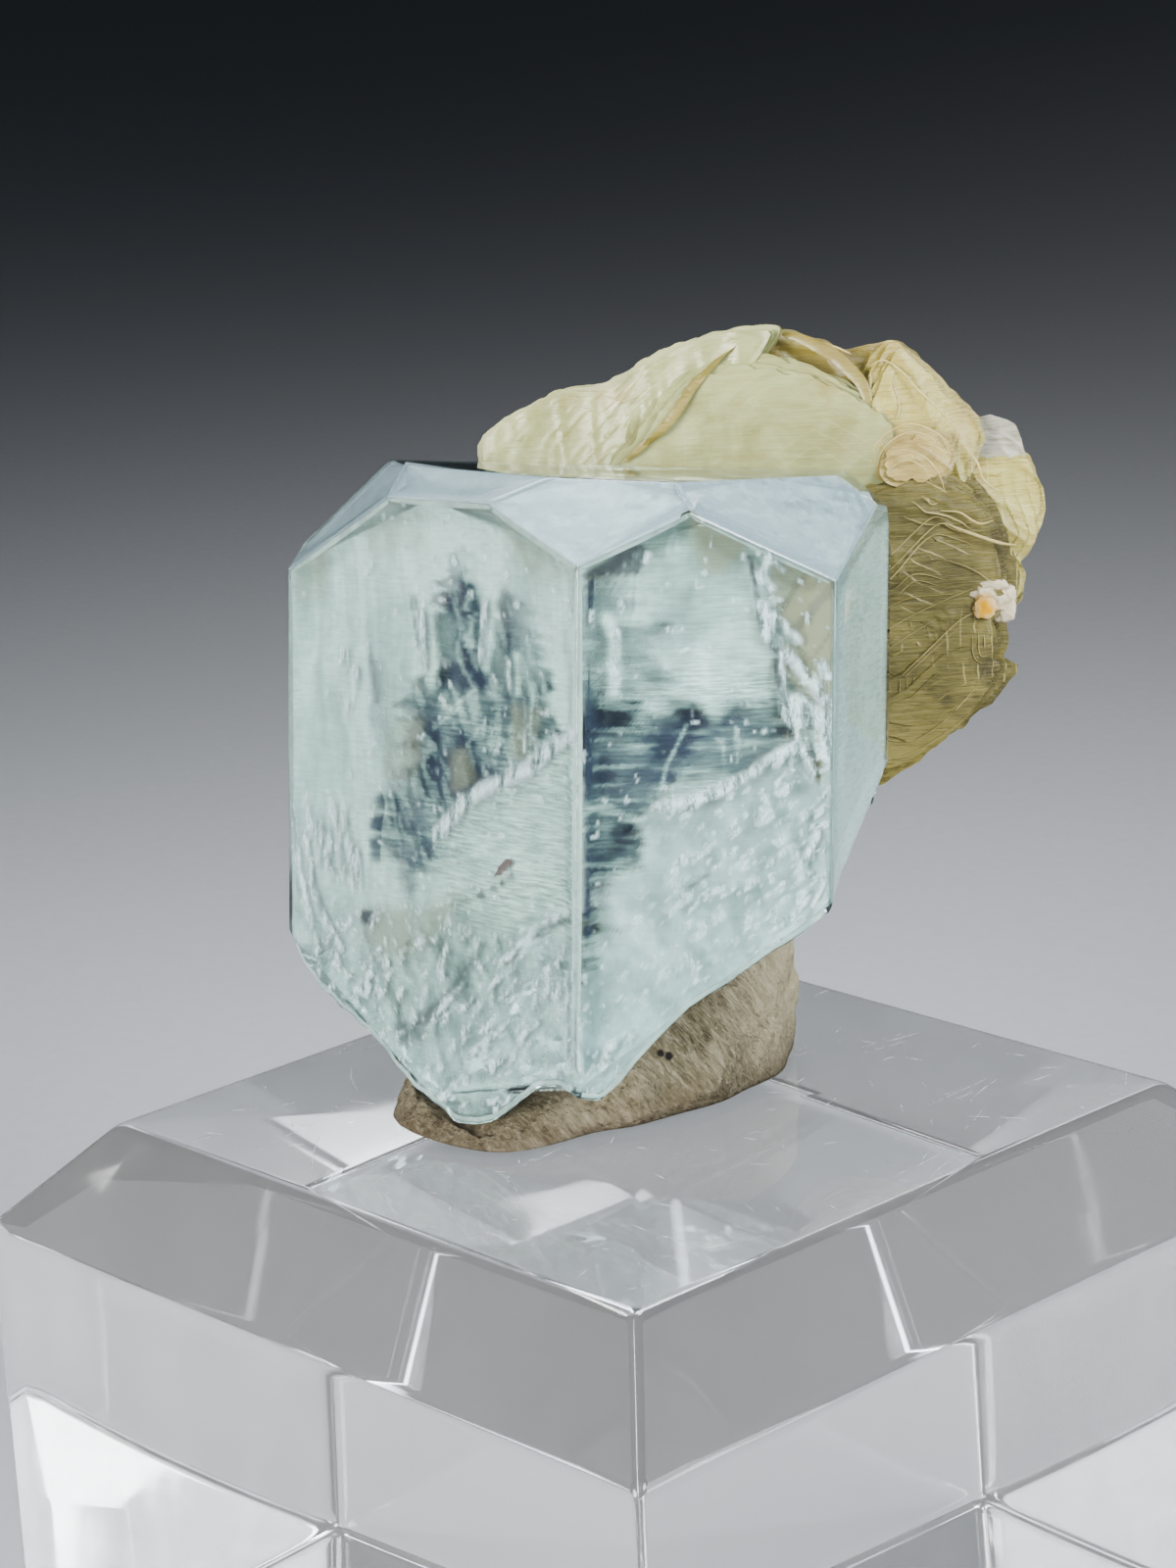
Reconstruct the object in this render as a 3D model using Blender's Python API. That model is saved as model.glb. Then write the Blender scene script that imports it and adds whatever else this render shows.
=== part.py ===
"""Aquamarine on mica: a display specimen fixed to a small acrylic block.

A clear hexagonal aquamarine crystal, broken off at its foot, has books of
pale mica grown on its back. A lump of mineral putty holds it on a square
block of clear acrylic with a bevelled top.

Millimetres are turned into metres with MM. The frame stands on the middle of
the block's underside: +Z is up and -Y is the side the specimen is shown from.
"""

import math

import bmesh
import bpy
import numpy as np
from mathutils import Matrix, Vector, noise

MM = 0.001

# ---- driving dimensions, in millimetres and degrees ----
BLOCK_SIDE = 38.0          # square acrylic block, edge to edge
BLOCK_HEIGHT = 25.0
BLOCK_BEVEL_IN = 4.0       # how far the sloped rim runs in from each side
BLOCK_BEVEL_DOWN = 4.2     # and how far down it starts
BLOCK_ROUNDING = 0.35      # polished edge radius
BLOCK_TURN = 43.0          # a corner of the block points at the viewer
GAP = 0.3                  # clearance between touching pieces

# The crystal's own frame: its origin is the foot of the front prism edge, its
# Z runs along the c-axis, X to the right and Y to the back.
CRYSTAL_FOOT = (-2.55, -8.0, 28.3)
CRYSTAL_LEAN_BACK = 8.7
CRYSTAL_LEAN_RIGHT = 3.3
PRISM_AZIMUTH = -47.0      # front left prism face; the others follow by 60
SIDE_LEFT = 17.0           # width of the front left prism face
SIDE_FRONT = 10.2          # width of the front right prism face
SIDE_RIGHT = 10.0          # width of the narrow face on the right
DEPTH = 14.0               # front edge to the flat contact with the mica
TOP = 23.4                 # height of the flat end face above the foot
TOP_FALL_RIGHT = 0.9       # and how far it falls to the right
EDGE_LOW_FRONT = 20.4      # where the front edge ends under its corner facet
EDGE_LOW_RIGHT = 19.7
EDGE_LOW_LEFT = 19.2

# The broken foot where it meets the side faces: height against x.
BREAK_EDGE = [
    (-11.7, 4.9), (-10.8, 2.7), (-9.8, 1.9), (-8.1, 0.8), (-6.2, -1.1),
    (-5.6, -1.3), (-4.9, -2.1), (-4.2, -2.3), (-2.9, -1.6), (-1.3, 0.2),
    (-0.7, 0.3), (0.0, -0.1), (0.9, -0.3), (1.5, 0.1), (2.0, 0.8),
    (3.2, 2.2), (4.5, 3.4), (6.0, 4.3), (8.2, 5.7), (9.8, 6.7),
    (10.1, 7.5), (11.4, 9.5), (12.5, 10.9), (13.2, 12.0),
]
BREAK_RISE = 0.30          # how steeply the break climbs to the back


def colour(red, green, blue):
    """A display colour, 0 to 255, as linear values for a shader."""
    out = []
    for value in (red, green, blue):
        c = value / 255.0
        out.append(c / 12.92 if c <= 0.04045 else ((c + 0.055) / 1.055) ** 2.4)
    return (*out, 1.0)


def material(name, base, roughness, transmission=0.0, ior=1.5):
    mat = bpy.data.materials.new(name)
    mat.use_nodes = True
    shader = mat.node_tree.nodes["Principled BSDF"]
    shader.inputs["Base Color"].default_value = base
    shader.inputs["Metallic"].default_value = 0.0
    shader.inputs["Roughness"].default_value = roughness
    shader.inputs["Transmission Weight"].default_value = transmission
    shader.inputs["IOR"].default_value = ior
    return mat


def add_object(name, bm, mat=None, parent=None):
    """Turn a bmesh drawn in millimetres into a named object in metres."""
    bmesh.ops.recalc_face_normals(bm, faces=bm.faces)
    bmesh.ops.scale(bm, vec=(MM, MM, MM), verts=bm.verts)
    mesh = bpy.data.meshes.new(name)
    bm.to_mesh(mesh)
    bm.free()
    obj = bpy.data.objects.new(name, mesh)
    bpy.context.scene.collection.objects.link(obj)
    if mat is not None:
        mesh.materials.append(mat)
    obj.parent = parent
    return obj


def as_cutter(obj):
    obj.hide_render = True
    obj.display_type = "WIRE"
    return obj


def boolean(obj, other, operation, solver="EXACT"):
    mod = obj.modifiers.new(operation.title() + " " + other.name, "BOOLEAN")
    mod.operation = operation
    mod.solver = solver
    mod.object = other
    return mod


def facing(azimuth, slope):
    """Unit normal: azimuth from -Y round to +X, slope down from +Z."""
    a = math.radians(azimuth)
    s = math.radians(slope)
    return Vector((math.sin(a) * math.sin(s), -math.cos(a) * math.sin(s), math.cos(s)))


def along(azimuth, length):
    """A step along a prism face that faces the given azimuth."""
    a = math.radians(azimuth)
    return Vector((math.cos(a) * length, math.sin(a) * length, 0.0))


# ---- acrylic block ----
def acrylic_block():
    half = BLOCK_SIDE / 2
    top = half - BLOCK_BEVEL_IN
    levels = [
        (half, 0.0),
        (half, BLOCK_HEIGHT - BLOCK_BEVEL_DOWN),
        (top, BLOCK_HEIGHT),
    ]
    bm = bmesh.new()
    rings = []
    for reach, height in levels:
        ring = []
        for sx, sy in ((-1, -1), (1, -1), (1, 1), (-1, 1)):
            ring.append(bm.verts.new((sx * reach, sy * reach, height)))
        rings.append(ring)
    for low, high in zip(rings, rings[1:]):
        for k in range(4):
            n = (k + 1) % 4
            bm.faces.new((low[k], low[n], high[n], high[k]))
    bm.faces.new(rings[0])
    bm.faces.new(rings[-1])
    mat = material("clear_acrylic", colour(244, 246, 246), 0.06, 1.0, 1.49)
    obj = add_object("acrylic_block", bm, mat)
    obj.rotation_euler = (0.0, 0.0, math.radians(BLOCK_TURN))
    mod = obj.modifiers.new("Polished edges", "BEVEL")
    mod.width = BLOCK_ROUNDING * MM
    mod.segments = 2
    mod.limit_method = "ANGLE"
    return obj


# ---- aquamarine crystal ----
def crystal_planes():
    """Every flat face of the crystal as a point on it and its normal."""
    azimuths = [PRISM_AZIMUTH + 60 * k for k in range(-1, 4)]
    back_left, front_left, front_right, right, back_right = azimuths
    front = Vector((0, 0, 0))
    left = -along(front_left, SIDE_LEFT)
    right_front = along(front_right, SIDE_FRONT)
    right_back = right_front + along(right, SIDE_RIGHT)
    up = Vector((0, 0, 1))
    faces = [
        (front, facing(front_left, 90)),
        (front, facing(front_right, 90)),
        (right_front, facing(right, 90)),
        (right_back, facing(back_right, 90)),
        (left, facing(back_left, 90)),
        (Vector((0, DEPTH, 0)), facing(178, 90)),
        (Vector((3, 2, TOP)), facing(90, TOP_FALL_RIGHT)),
        (front + up * EDGE_LOW_FRONT, facing(-17.7, 41.0)),
        (right_front + up * EDGE_LOW_RIGHT, facing(47.8, 38.7)),
        (left + up * EDGE_LOW_LEFT, facing(-78.7, 45.0)),
        (left / 2 + up * 22.5, facing(-47.6, 25.6)),
        (right_back + up * 21.85, facing(81.7, 34.9)),
        (right_back + up * 20.2, facing(103, 76)),
    ]
    return faces


def crystal_hull(name, offset, parent, mat=None):
    """A block of material cut down by the crystal's faces, one at a time."""
    bm = bmesh.new()
    bmesh.ops.create_cube(bm, size=90.0)
    for point, normal in crystal_planes():
        geom = bm.verts[:] + bm.edges[:] + bm.faces[:]
        cut = bmesh.ops.bisect_plane(
            bm, geom=geom, plane_co=point + normal * offset, plane_no=normal,
            clear_outer=True, dist=1e-5,
        )
        rim = [e for e in cut["geom_cut"] if isinstance(e, bmesh.types.BMEdge)]
        bmesh.ops.contextual_create(bm, geom=rim)
    return add_object(name, bm, mat, parent)


def front_line(x):
    """Depth at which the crystal's front faces stand at a given x."""
    azimuths = [PRISM_AZIMUTH + 60 * k for k in range(3)]
    if x < 0:
        return -x * math.tan(math.radians(-azimuths[0]))
    corner = along(azimuths[1], SIDE_FRONT)
    if x < corner.x:
        return x * math.tan(math.radians(azimuths[1]))
    return corner.y + (x - corner.x) * math.tan(math.radians(azimuths[2]))


def break_height(x, y):
    """Height of the broken foot: toothed at the front, shell-like behind."""
    xs = [p[0] for p in BREAK_EDGE]
    zs = [p[1] for p in BREAK_EDGE]
    rim = float(np.interp(x, xs, zs))
    wide = np.linspace(x - 2.5, x + 2.5, 11)
    smooth = float(np.mean(np.interp(wide, xs, zs)))
    depth = max(0.0, y - front_line(x))
    near = math.exp(-depth / 2.6)
    shell = math.sin(1.15 * math.hypot(x + 9.0, y - 16.0)) * (1 - near)
    rough = noise.noise(Vector((0.33 * x, 0.33 * y, 4.7))) * (1 - near)
    steps = noise.noise(Vector((0.8 * x, 0.8 * y, 9.1))) * (1 - 0.7 * near)
    height = smooth + (rim - smooth) * near + BREAK_RISE * depth
    return height + 0.22 * shell + 0.9 * rough + 0.25 * steps


def break_cutter(name, lower, parent):
    """Closed lump whose upper side is the broken foot of the crystal."""
    xs = np.arange(-15.0, 17.01, 0.8)
    ys = np.arange(-2.0, 18.01, 0.8)
    floor = -50.0
    bm = bmesh.new()
    top = [[bm.verts.new((x, y, break_height(x, y) - lower)) for y in ys] for x in xs]
    low = [[bm.verts.new((x, y, floor)) for y in ys] for x in xs]
    nx, ny = len(xs), len(ys)
    for grid in (top, low):
        for i in range(nx - 1):
            for j in range(ny - 1):
                a, b = grid[i][j], grid[i + 1][j]
                c, d = grid[i + 1][j + 1], grid[i][j + 1]
                bm.faces.new((a, b, c, d))
    loop = [(i, 0) for i in range(nx - 1)]
    loop += [(nx - 1, j) for j in range(ny - 1)]
    loop += [(i, ny - 1) for i in range(nx - 1, 0, -1)]
    loop += [(0, j) for j in range(ny - 1, 0, -1)]
    for k, (i, j) in enumerate(loop):
        m, n = loop[(k + 1) % len(loop)]
        bm.faces.new((top[i][j], top[m][n], low[m][n], low[i][j]))
    bmesh.ops.triangulate(bm, faces=bm.faces[:])
    return as_cutter(add_object(name, bm, None, parent))


# ---- mica books ----
def ragged(outline, step, amount, rng):
    """Walk round a closed outline in even steps and fray it a little."""
    pts = np.array(outline, float)
    nxt = np.roll(pts, -1, axis=0)
    seg = np.linalg.norm(nxt - pts, axis=1)
    total = seg.sum()
    count = max(18, int(round(total / step)))
    at = np.arange(count) * total / count
    start = np.concatenate(([0.0], np.cumsum(seg)))
    out = []
    for s in at:
        k = min(int(np.searchsorted(start, s, side="right")) - 1, len(seg) - 1)
        t = (s - start[k]) / seg[k]
        out.append(pts[k] * (1 - t) + nxt[k] * t)
    out = np.array(out)
    side = np.roll(out, -1, axis=0) - np.roll(out, 1, axis=0)
    side = np.stack([side[:, 1], -side[:, 0]], axis=1)
    side /= np.linalg.norm(side, axis=1)[:, None]
    return out + side * rng.uniform(-amount, amount, count)[:, None]


def mica_book(name, outline, front, thickness, turn, tilt, steps, parent, seed):
    """A book of mica: sheets in the XZ plane stacked towards +Y.

    steps gives, for each sheet from the front, how far its edge lies inside
    the outline, which makes the ledges round the book.
    """
    rng = np.random.default_rng(seed)
    rim = ragged(outline, 1.15, 0.13, rng)
    centre = rim.mean(axis=0)
    spokes = rim - centre
    reach = np.linalg.norm(spokes, axis=1)
    bm = bmesh.new()
    rings = []
    edges = np.linspace(0.0, thickness, len(steps) + 1)
    edges[1:-1] += rng.uniform(-0.06, 0.06, len(steps) - 1)
    for k, inset in enumerate(steps):
        shrink = 1 - (inset + rng.uniform(0.0, 0.10, len(rim))) / reach
        sheet = spokes * shrink[:, None]
        for depth in (edges[k] + 0.03, edges[k + 1] - 0.03):
            ring = []
            for x, z in sheet:
                ring.append(bm.verts.new((x, depth, z)))
            rings.append(ring)
    for near, far in zip(rings, rings[1:]):
        count = len(near)
        for k in range(count):
            n = (k + 1) % count
            bm.faces.new((near[k], near[n], far[n], far[k]))
    bm.faces.new(rings[0])
    bm.faces.new(rings[-1])
    bmesh.ops.triangulate(bm, faces=bm.faces[:])
    obj = add_object(name, bm, None, parent)
    obj.location = Vector((centre[0], front, centre[1])) * MM
    obj.rotation_euler = (math.radians(tilt), 0.0, math.radians(turn))
    return obj


# Outlines are x, z points in the crystal's frame, clockwise from the left.
CENTRE_BOOK = [
    (1.2, 22.6), (2.6, 24.8), (3.6, 26.3), (4.9, 27.4), (6.8, 27.9), (9.4, 27.6),
    (12.2, 26.2), (13.4, 25.0), (13.2, 22.0), (12.8, 17.0), (11.4, 12.2), (8.0, 12.6),
    (2.4, 18.0),
]
LEFT_LOBE = [
    (-4.2, 23.6), (-4.0, 24.5), (-3.1, 25.2), (-2.1, 25.8), (-0.6, 26.5), (0.7, 26.6),
    (2.0, 27.2), (2.9, 27.8), (4.3, 28.4), (6.4, 29.0), (8.0, 29.2), (8.5, 28.9),
    (7.4, 27.0), (6.4, 24.0), (4.6, 20.5), (0.0, 19.3), (-3.4, 21.3),
]
TOP_BAND = [
    (3.0, 26.6), (4.6, 28.1), (6.8, 28.6), (8.6, 28.9), (9.6, 28.7), (10.5, 28.4),
    (11.2, 28.1), (12.0, 28.3), (13.2, 28.5), (13.8, 28.2), (14.5, 27.3), (14.8, 25.0),
    (12.0, 22.0), (6.0, 22.0),
]
RIGHT_FOLD = [
    (11.6, 25.4), (12.2, 27.5), (13.2, 28.6), (14.5, 27.8), (15.6, 26.9), (16.5, 26.0),
    (17.1, 25.3), (17.2, 24.0), (15.4, 21.0), (12.6, 21.4),
]
CLEAR_FLAKE = [
    (15.2, 24.2), (16.7, 25.3), (17.6, 25.4), (18.4, 25.0), (18.8, 24.3), (18.9, 23.6),
    (18.6, 22.6), (17.6, 21.6), (15.6, 22.0),
]
OUTER_FAN = [
    (15.6, 23.2), (18.6, 23.9), (19.4, 23.4), (19.8, 22.5), (19.9, 21.5), (19.7, 20.4),
    (19.3, 19.6), (19.0, 19.1), (19.2, 18.5), (18.7, 17.4), (16.0, 16.5), (14.6, 19.6),
]
OLIVE_BOOK = [
    (9.6, 22.2), (13.4, 24.1), (15.8, 24.0), (17.9, 22.0), (18.9, 19.4), (18.9, 17.6),
    (18.4, 17.0), (18.5, 15.9), (18.3, 15.1), (18.9, 14.8), (18.5, 14.1), (18.0, 13.3),
    (17.2, 12.7), (16.3, 11.9), (14.8, 10.7), (13.2, 9.7), (11.2, 9.3), (9.2, 11.4),
    (8.6, 16.5),
]
ROSETTE = [
    (12.2, 23.1), (12.4, 24.1), (13.1, 24.9), (14.2, 25.2), (15.3, 24.9), (15.9, 24.0),
    (15.6, 23.0), (14.2, 22.4), (12.9, 22.4),
]
# name, outline, front depth, thickness, turn, tilt, ledges
BOOKS = [
    ("mica_cluster", CENTRE_BOOK, 14.35, 2.6, 0.0, 1.0, (0.5, 0.0, 0.3, 0.0, 0.4)),
    ("left_lobe", LEFT_LOBE, 15.3, 1.9, -9.0, -3.0, (0.4, 0.2, 0.0, 0.5)),
    ("top_band", TOP_BAND, 16.1, 1.8, 3.0, -6.0, (0.2, 0.0, 0.4)),
    ("right_fold", RIGHT_FOLD, 14.9, 2.0, 11.0, -4.0, (0.5, 0.2, 0.0, 0.3)),
    ("clear_flake", CLEAR_FLAKE, 16.4, 0.8, 8.0, 2.0, (0.0, 0.2)),
    ("outer_fan", OUTER_FAN, 16.2, 1.7, 14.0, 2.0, (0.5, 0.2, 0.0, 0.5)),
    ("olive_book", OLIVE_BOOK, 14.4, 3.6, 4.0, 3.0, (1.3, 0.9, 0.6, 0.3, 0.0, 0.6)),
    ("rosette", ROSETTE, 13.9, 1.6, 6.0, -8.0, (0.4, 0.0)),
]


# ---- mounting putty ----
PUTTY_CENTRE = (-1.4, 2.6)
# Reach of the lump from its centre in directions 30 degrees apart, from +X.
PUTTY_REACH = [7.5, 8.9, 8.5, 7.8, 8.1, 8.2, 7.8, 9.5, 9.4, 6.4, 5.8, 6.2]
PUTTY_LOW = 0.5            # height of the pressed-out lip at the front left
PUTTY_RISE_BACK = 0.40     # rise per millimetre to the back and to the right
PUTTY_RISE_RIGHT = 0.26
PUTTY_MOST = 8.2
PUTTY_BULGE = 0.11         # how far the right side bellies out over its foot


def putty_reach(angle):
    count = len(PUTTY_REACH)
    at = (angle / (2 * math.pi) * count) % count
    k = int(at)
    t = at - k
    t = t * t * (3 - 2 * t)
    return PUTTY_REACH[k] * (1 - t) + PUTTY_REACH[(k + 1) % count] * t


def putty_height(x, y):
    tall = PUTTY_LOW + PUTTY_RISE_BACK * (y + 4.6) + PUTTY_RISE_RIGHT * (x + 8.0)
    return min(PUTTY_MOST, max(PUTTY_LOW, tall))


def mounting_putty(clearance):
    """A pressed lump: full sides, a low left end and a high right end."""
    around, up = 56, 12
    base = BLOCK_HEIGHT + GAP
    bm = bmesh.new()
    rings = []
    for j in range(up):
        lift = (math.pi / 2) * j / up
        ring = []
        for k in range(around):
            a = 2 * math.pi * k / around
            belly = PUTTY_BULGE * max(0.0, math.cos(a + 0.1)) * math.sin(1.6 * lift)
            reach = putty_reach(a) * (math.cos(lift) ** 0.46 + max(0.0, belly))
            x = PUTTY_CENTRE[0] + reach * math.cos(a)
            y = PUTTY_CENTRE[1] + reach * math.sin(a)
            z = base + putty_height(x, y) * math.sin(lift) ** 0.9
            if j:
                bump = noise.noise(Vector((0.45 * x, 0.45 * y, 0.45 * z)))
                x += 0.5 * bump * math.cos(a)
                y += 0.5 * bump * math.sin(a)
            ring.append(bm.verts.new((x, y, z)))
        rings.append(ring)
    for low, high in zip(rings, rings[1:]):
        for k in range(around):
            n = (k + 1) % around
            bm.faces.new((low[k], low[n], high[n], high[k]))
    cx, cy = PUTTY_CENTRE
    peak = bm.verts.new((cx, cy, base + putty_height(cx, cy)))
    for k in range(around):
        bm.faces.new((rings[-1][k], rings[-1][(k + 1) % around], peak))
    bm.faces.new(rings[0])
    mat = material("mineral_putty", colour(150, 139, 110), 0.85)
    obj = add_object("mounting_putty", bm, mat)
    boolean(obj, clearance, "DIFFERENCE")
    return obj


def main():
    for old in list(bpy.data.objects):
        bpy.data.objects.remove(old, do_unlink=True)

    frame = bpy.data.objects.new("crystal_frame", None)
    bpy.context.scene.collection.objects.link(frame)
    frame.location = Vector(CRYSTAL_FOOT) * MM
    frame.rotation_euler = (
        math.radians(-CRYSTAL_LEAN_BACK), math.radians(CRYSTAL_LEAN_RIGHT), 0.0,
    )

    acrylic_block()

    beryl = material("aquamarine", colour(226, 240, 238), 0.02, 1.0, 1.577)
    crystal = crystal_hull("aquamarine_crystal", 0.0, frame, beryl)
    foot = break_cutter("break_surface", 0.0, frame)
    boolean(crystal, foot, "DIFFERENCE")

    clearance = as_cutter(crystal_hull("crystal_clearance", GAP, frame))
    foot_low = break_cutter("break_clearance", GAP * 1.25, frame)
    boolean(clearance, foot_low, "DIFFERENCE")

    mica = material("mica", colour(201, 196, 158), 0.35)
    cluster = None
    for seed, row in enumerate(BOOKS):
        name, outline, front, thickness, turn, tilt, steps = row
        book = mica_book(name, outline, front, thickness, turn, tilt, steps, frame, 20 + seed)
        if cluster is None:
            cluster = book
            cluster.data.materials.append(mica)
        else:
            boolean(cluster, as_cutter(book), "UNION", "MANIFOLD")
    boolean(cluster, clearance, "DIFFERENCE", "MANIFOLD")

    mounting_putty(clearance)


main()
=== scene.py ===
# %% [markdown]
# # A clear aquamarine with mica, on an acrylic block
# The display piece is a pale hexagonal beryl crystal, broken off at its foot,
# with books of mica on its back. A lump of putty holds it on a bevelled clear
# block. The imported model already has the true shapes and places. This lesson
# gives every surface its finish: thin sheets, veils, scratches and wrinkles.

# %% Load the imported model
import math

import bmesh
import bpy
import numpy as np
from mathutils import Matrix, Vector
from mathutils.bvhtree import BVHTree


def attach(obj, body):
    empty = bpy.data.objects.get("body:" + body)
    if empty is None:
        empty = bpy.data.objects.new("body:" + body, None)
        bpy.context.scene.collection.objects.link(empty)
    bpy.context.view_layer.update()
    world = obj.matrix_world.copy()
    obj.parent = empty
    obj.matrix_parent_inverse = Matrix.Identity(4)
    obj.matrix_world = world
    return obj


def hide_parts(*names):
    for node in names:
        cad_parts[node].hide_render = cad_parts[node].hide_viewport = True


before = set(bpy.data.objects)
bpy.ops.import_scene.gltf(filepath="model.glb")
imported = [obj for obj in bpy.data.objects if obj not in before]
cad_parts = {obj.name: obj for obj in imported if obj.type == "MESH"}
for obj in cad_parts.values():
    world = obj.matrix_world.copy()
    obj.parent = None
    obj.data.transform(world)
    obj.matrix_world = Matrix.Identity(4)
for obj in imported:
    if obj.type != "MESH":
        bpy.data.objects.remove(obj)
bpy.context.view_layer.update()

MM = 0.001
root = "root"
print("packed nodes:", ", ".join(sorted(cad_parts)))

# %% [markdown]
# ## Tools for surfaces
# Most pieces here are grids: rows of points run round a body from one pole to
# the other. Building whole arrays with numpy is quick, and one function then
# turns any list of such skins into a mesh. Noise is needed in many places, so
# it is written once, as smooth values between whole-number lattice points.


# %% Repeatable noise
def lattice(cell, seed):
    """A fixed value from -1 to 1 for each whole-number point: its three
    coordinates are multiplied by large odd numbers, mixed and cut short."""
    x, y, z = cell[..., 0], cell[..., 1], cell[..., 2]
    h = (x * 374761393 + y * 668265263 + z * 362437 + seed * 974711) & 0xFFFFFFFF
    h = ((h ^ (h >> 13)) * 1274126177) & 0xFFFFFFFF
    h = h ^ (h >> 16)
    return (h & 0xFFFFFF) / float(0x7FFFFF) - 1.0


def noise(p, seed=0):
    """Smooth noise: the lattice values at a cell's eight corners, blended by
    3t^2 - 2t^3 along each axis."""
    p = np.asarray(p, float)
    cell = np.floor(p).astype(np.int64)
    t = p - cell
    t = t * t * (3 - 2 * t)
    total = 0.0
    for dx in (0, 1):
        for dy in (0, 1):
            for dz in (0, 1):
                share = np.abs(1 - dx - t[..., 0]) * np.abs(1 - dy - t[..., 1])
                share = share * np.abs(1 - dz - t[..., 2])
                total = total + share * lattice(cell + (dx, dy, dz), seed)
    return total


def layered(p, seed=0, layers=4):
    """Noise added to itself at half the size and half the height, in turn."""
    p = np.asarray(p, float)
    return sum(noise(p * 2 ** k, seed + k) / 2 ** k for k in range(layers))


# %% Skins to a mesh
def skin(rings, start, end):
    """One closed skin from rings (rows, columns, 3) and its two poles: four
    corners between neighbouring rows and columns, and a fan at each pole."""
    rows, columns, _ = rings.shape
    index = np.arange(rows * columns).reshape(rows, columns)
    turned = np.roll(index, -1, axis=1)
    quads = np.stack([index[:-1], turned[:-1], turned[1:], index[1:]], axis=-1)
    first = np.full(columns, rows * columns)
    fan = np.stack([turned[0], index[0], first], axis=-1)
    last = np.stack([index[-1], turned[-1], first + 1], axis=-1)
    points = np.vstack([rings.reshape(-1, 3), start, end])
    return points, quads.reshape(-1, 4), np.vstack([fan, last])


# %% Curves through corners
def curve_between(a, b, c, d, steps):
    """The Catmull-Rom curve from each b to its c, in steps: half of
    2b + (c-a)t + (2a-5b+4c-d)t^2 + (3b-a-3c+d)t^3 for t from 0 to 1."""
    t = (np.arange(steps) / steps)[:, None, None]
    curve = 0.5 * (2 * b + (c - a) * t + (2 * a - 5 * b + 4 * c - d) * t ** 2
                   + (3 * b - a - 3 * c + d) * t ** 3)
    return curve.transpose(1, 0, 2).reshape(-1, b.shape[1])


def smooth_line(corners, steps):
    """An open curve through the corners, led on straight past its two ends."""
    p = np.array(corners, float)
    p = np.vstack([2 * p[:1] - p[1:2], p, 2 * p[-1:] - p[-2:-1]])
    return np.vstack([curve_between(p[:-3], p[1:-2], p[2:-1], p[3:], steps), p[-2:-1]])


def smooth_loop(corners, steps):
    """A closed curve through the corners."""
    p = np.array(corners, float)
    return curve_between(np.roll(p, 1, 0), p, np.roll(p, -1, 0), np.roll(p, -2, 0), steps)


def turned_flat(x, y, angle):
    """Columns x and y, turned about zero by an angle."""
    c, s = math.cos(angle), math.sin(angle)
    return np.stack([x * c - y * s, x * s + y * c], axis=-1)


# %% Flat tubes along a path
def tube(path, wide, thick, side, around):
    """A closed skin carried along a path: ovals whose half-width lies towards
    side and whose half-height stands across it. Both may change along it."""
    path = np.array(path, float)
    run = np.gradient(path, axis=0)
    run /= np.linalg.norm(run, axis=1)[:, None]
    across = np.asarray(side, float) - run * (run @ np.asarray(side, float))[:, None]
    across /= np.linalg.norm(across, axis=1)[:, None]
    up = np.cross(run, across)
    a = np.linspace(0, 2 * math.pi, around, endpoint=False)
    wide = np.broadcast_to(wide, len(path))[:, None, None]
    thick = np.broadcast_to(thick, len(path))[:, None, None]
    rings = path[:, None] + wide * np.cos(a)[None, :, None] * across[:, None]
    rings = rings + thick * np.sin(a)[None, :, None] * up[:, None]
    return skin(rings, path[0] - run[0] * 1e-3, path[-1] + run[-1] * 1e-3)


def tapered(count, most, least=0.15):
    """A half-width along a path: full in the middle, fine at both ends."""
    return most * (least + (1 - least) * np.sin(np.linspace(0, math.pi, count)) ** 0.6)


# %% A piece from its skins
def add_piece(name, skins, material, smooth_angle):
    """Joins skins, given in millimetres, in one object that rides on the part."""
    points, faces, base = [], [], 0
    for verts, quads, fans in skins:
        points.append(verts)
        faces += (quads + base).tolist() + (fans + base).tolist()
        base += len(verts)
    mesh = bpy.data.meshes.new(name)
    mesh.from_pydata((np.vstack(points) * MM).tolist(), [], faces)
    return finish_piece(name, mesh, material, smooth_angle)


def finish_piece(name, mesh, material, smooth_angle):
    """Turns faces outwards, smooths gentle edges, and hands the piece over."""
    bm = bmesh.new()
    bm.from_mesh(mesh)
    bmesh.ops.recalc_face_normals(bm, faces=bm.faces)
    bm.to_mesh(mesh)
    bm.free()
    mesh.materials.clear()
    mesh.materials.append(material)
    mesh.shade_smooth()
    mesh.set_sharp_from_angle(angle=math.radians(smooth_angle))
    piece = bpy.data.objects.new(name, mesh)
    bpy.context.scene.collection.objects.link(piece)
    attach(piece, root)
    print(f"{name}: {len(mesh.polygons)} faces")
    return piece


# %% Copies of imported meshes
def subdivided(bm, name, levels):
    """The mesh of a bmesh with every face divided levels times."""
    mesh = bpy.data.meshes.new(name)
    bm.to_mesh(mesh)
    bm.free()
    holder = bpy.data.objects.new(name, mesh)
    bpy.context.scene.collection.objects.link(holder)
    rounds = holder.modifiers.new("Finer", "SUBSURF")
    rounds.levels = rounds.render_levels = levels
    done = bpy.data.meshes.new_from_object(holder.evaluated_get(bpy.context.evaluated_depsgraph_get()))
    bpy.data.objects.remove(holder)
    return done


def mesh_arrays(mesh):
    """A mesh's points and its point normals."""
    size = len(mesh.vertices) * 3
    points, normals = np.empty(size), np.empty(size)
    mesh.vertices.foreach_get("co", points)
    mesh.vertices.foreach_get("normal", normals)
    return points.reshape(-1, 3), normals.reshape(-1, 3)


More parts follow.
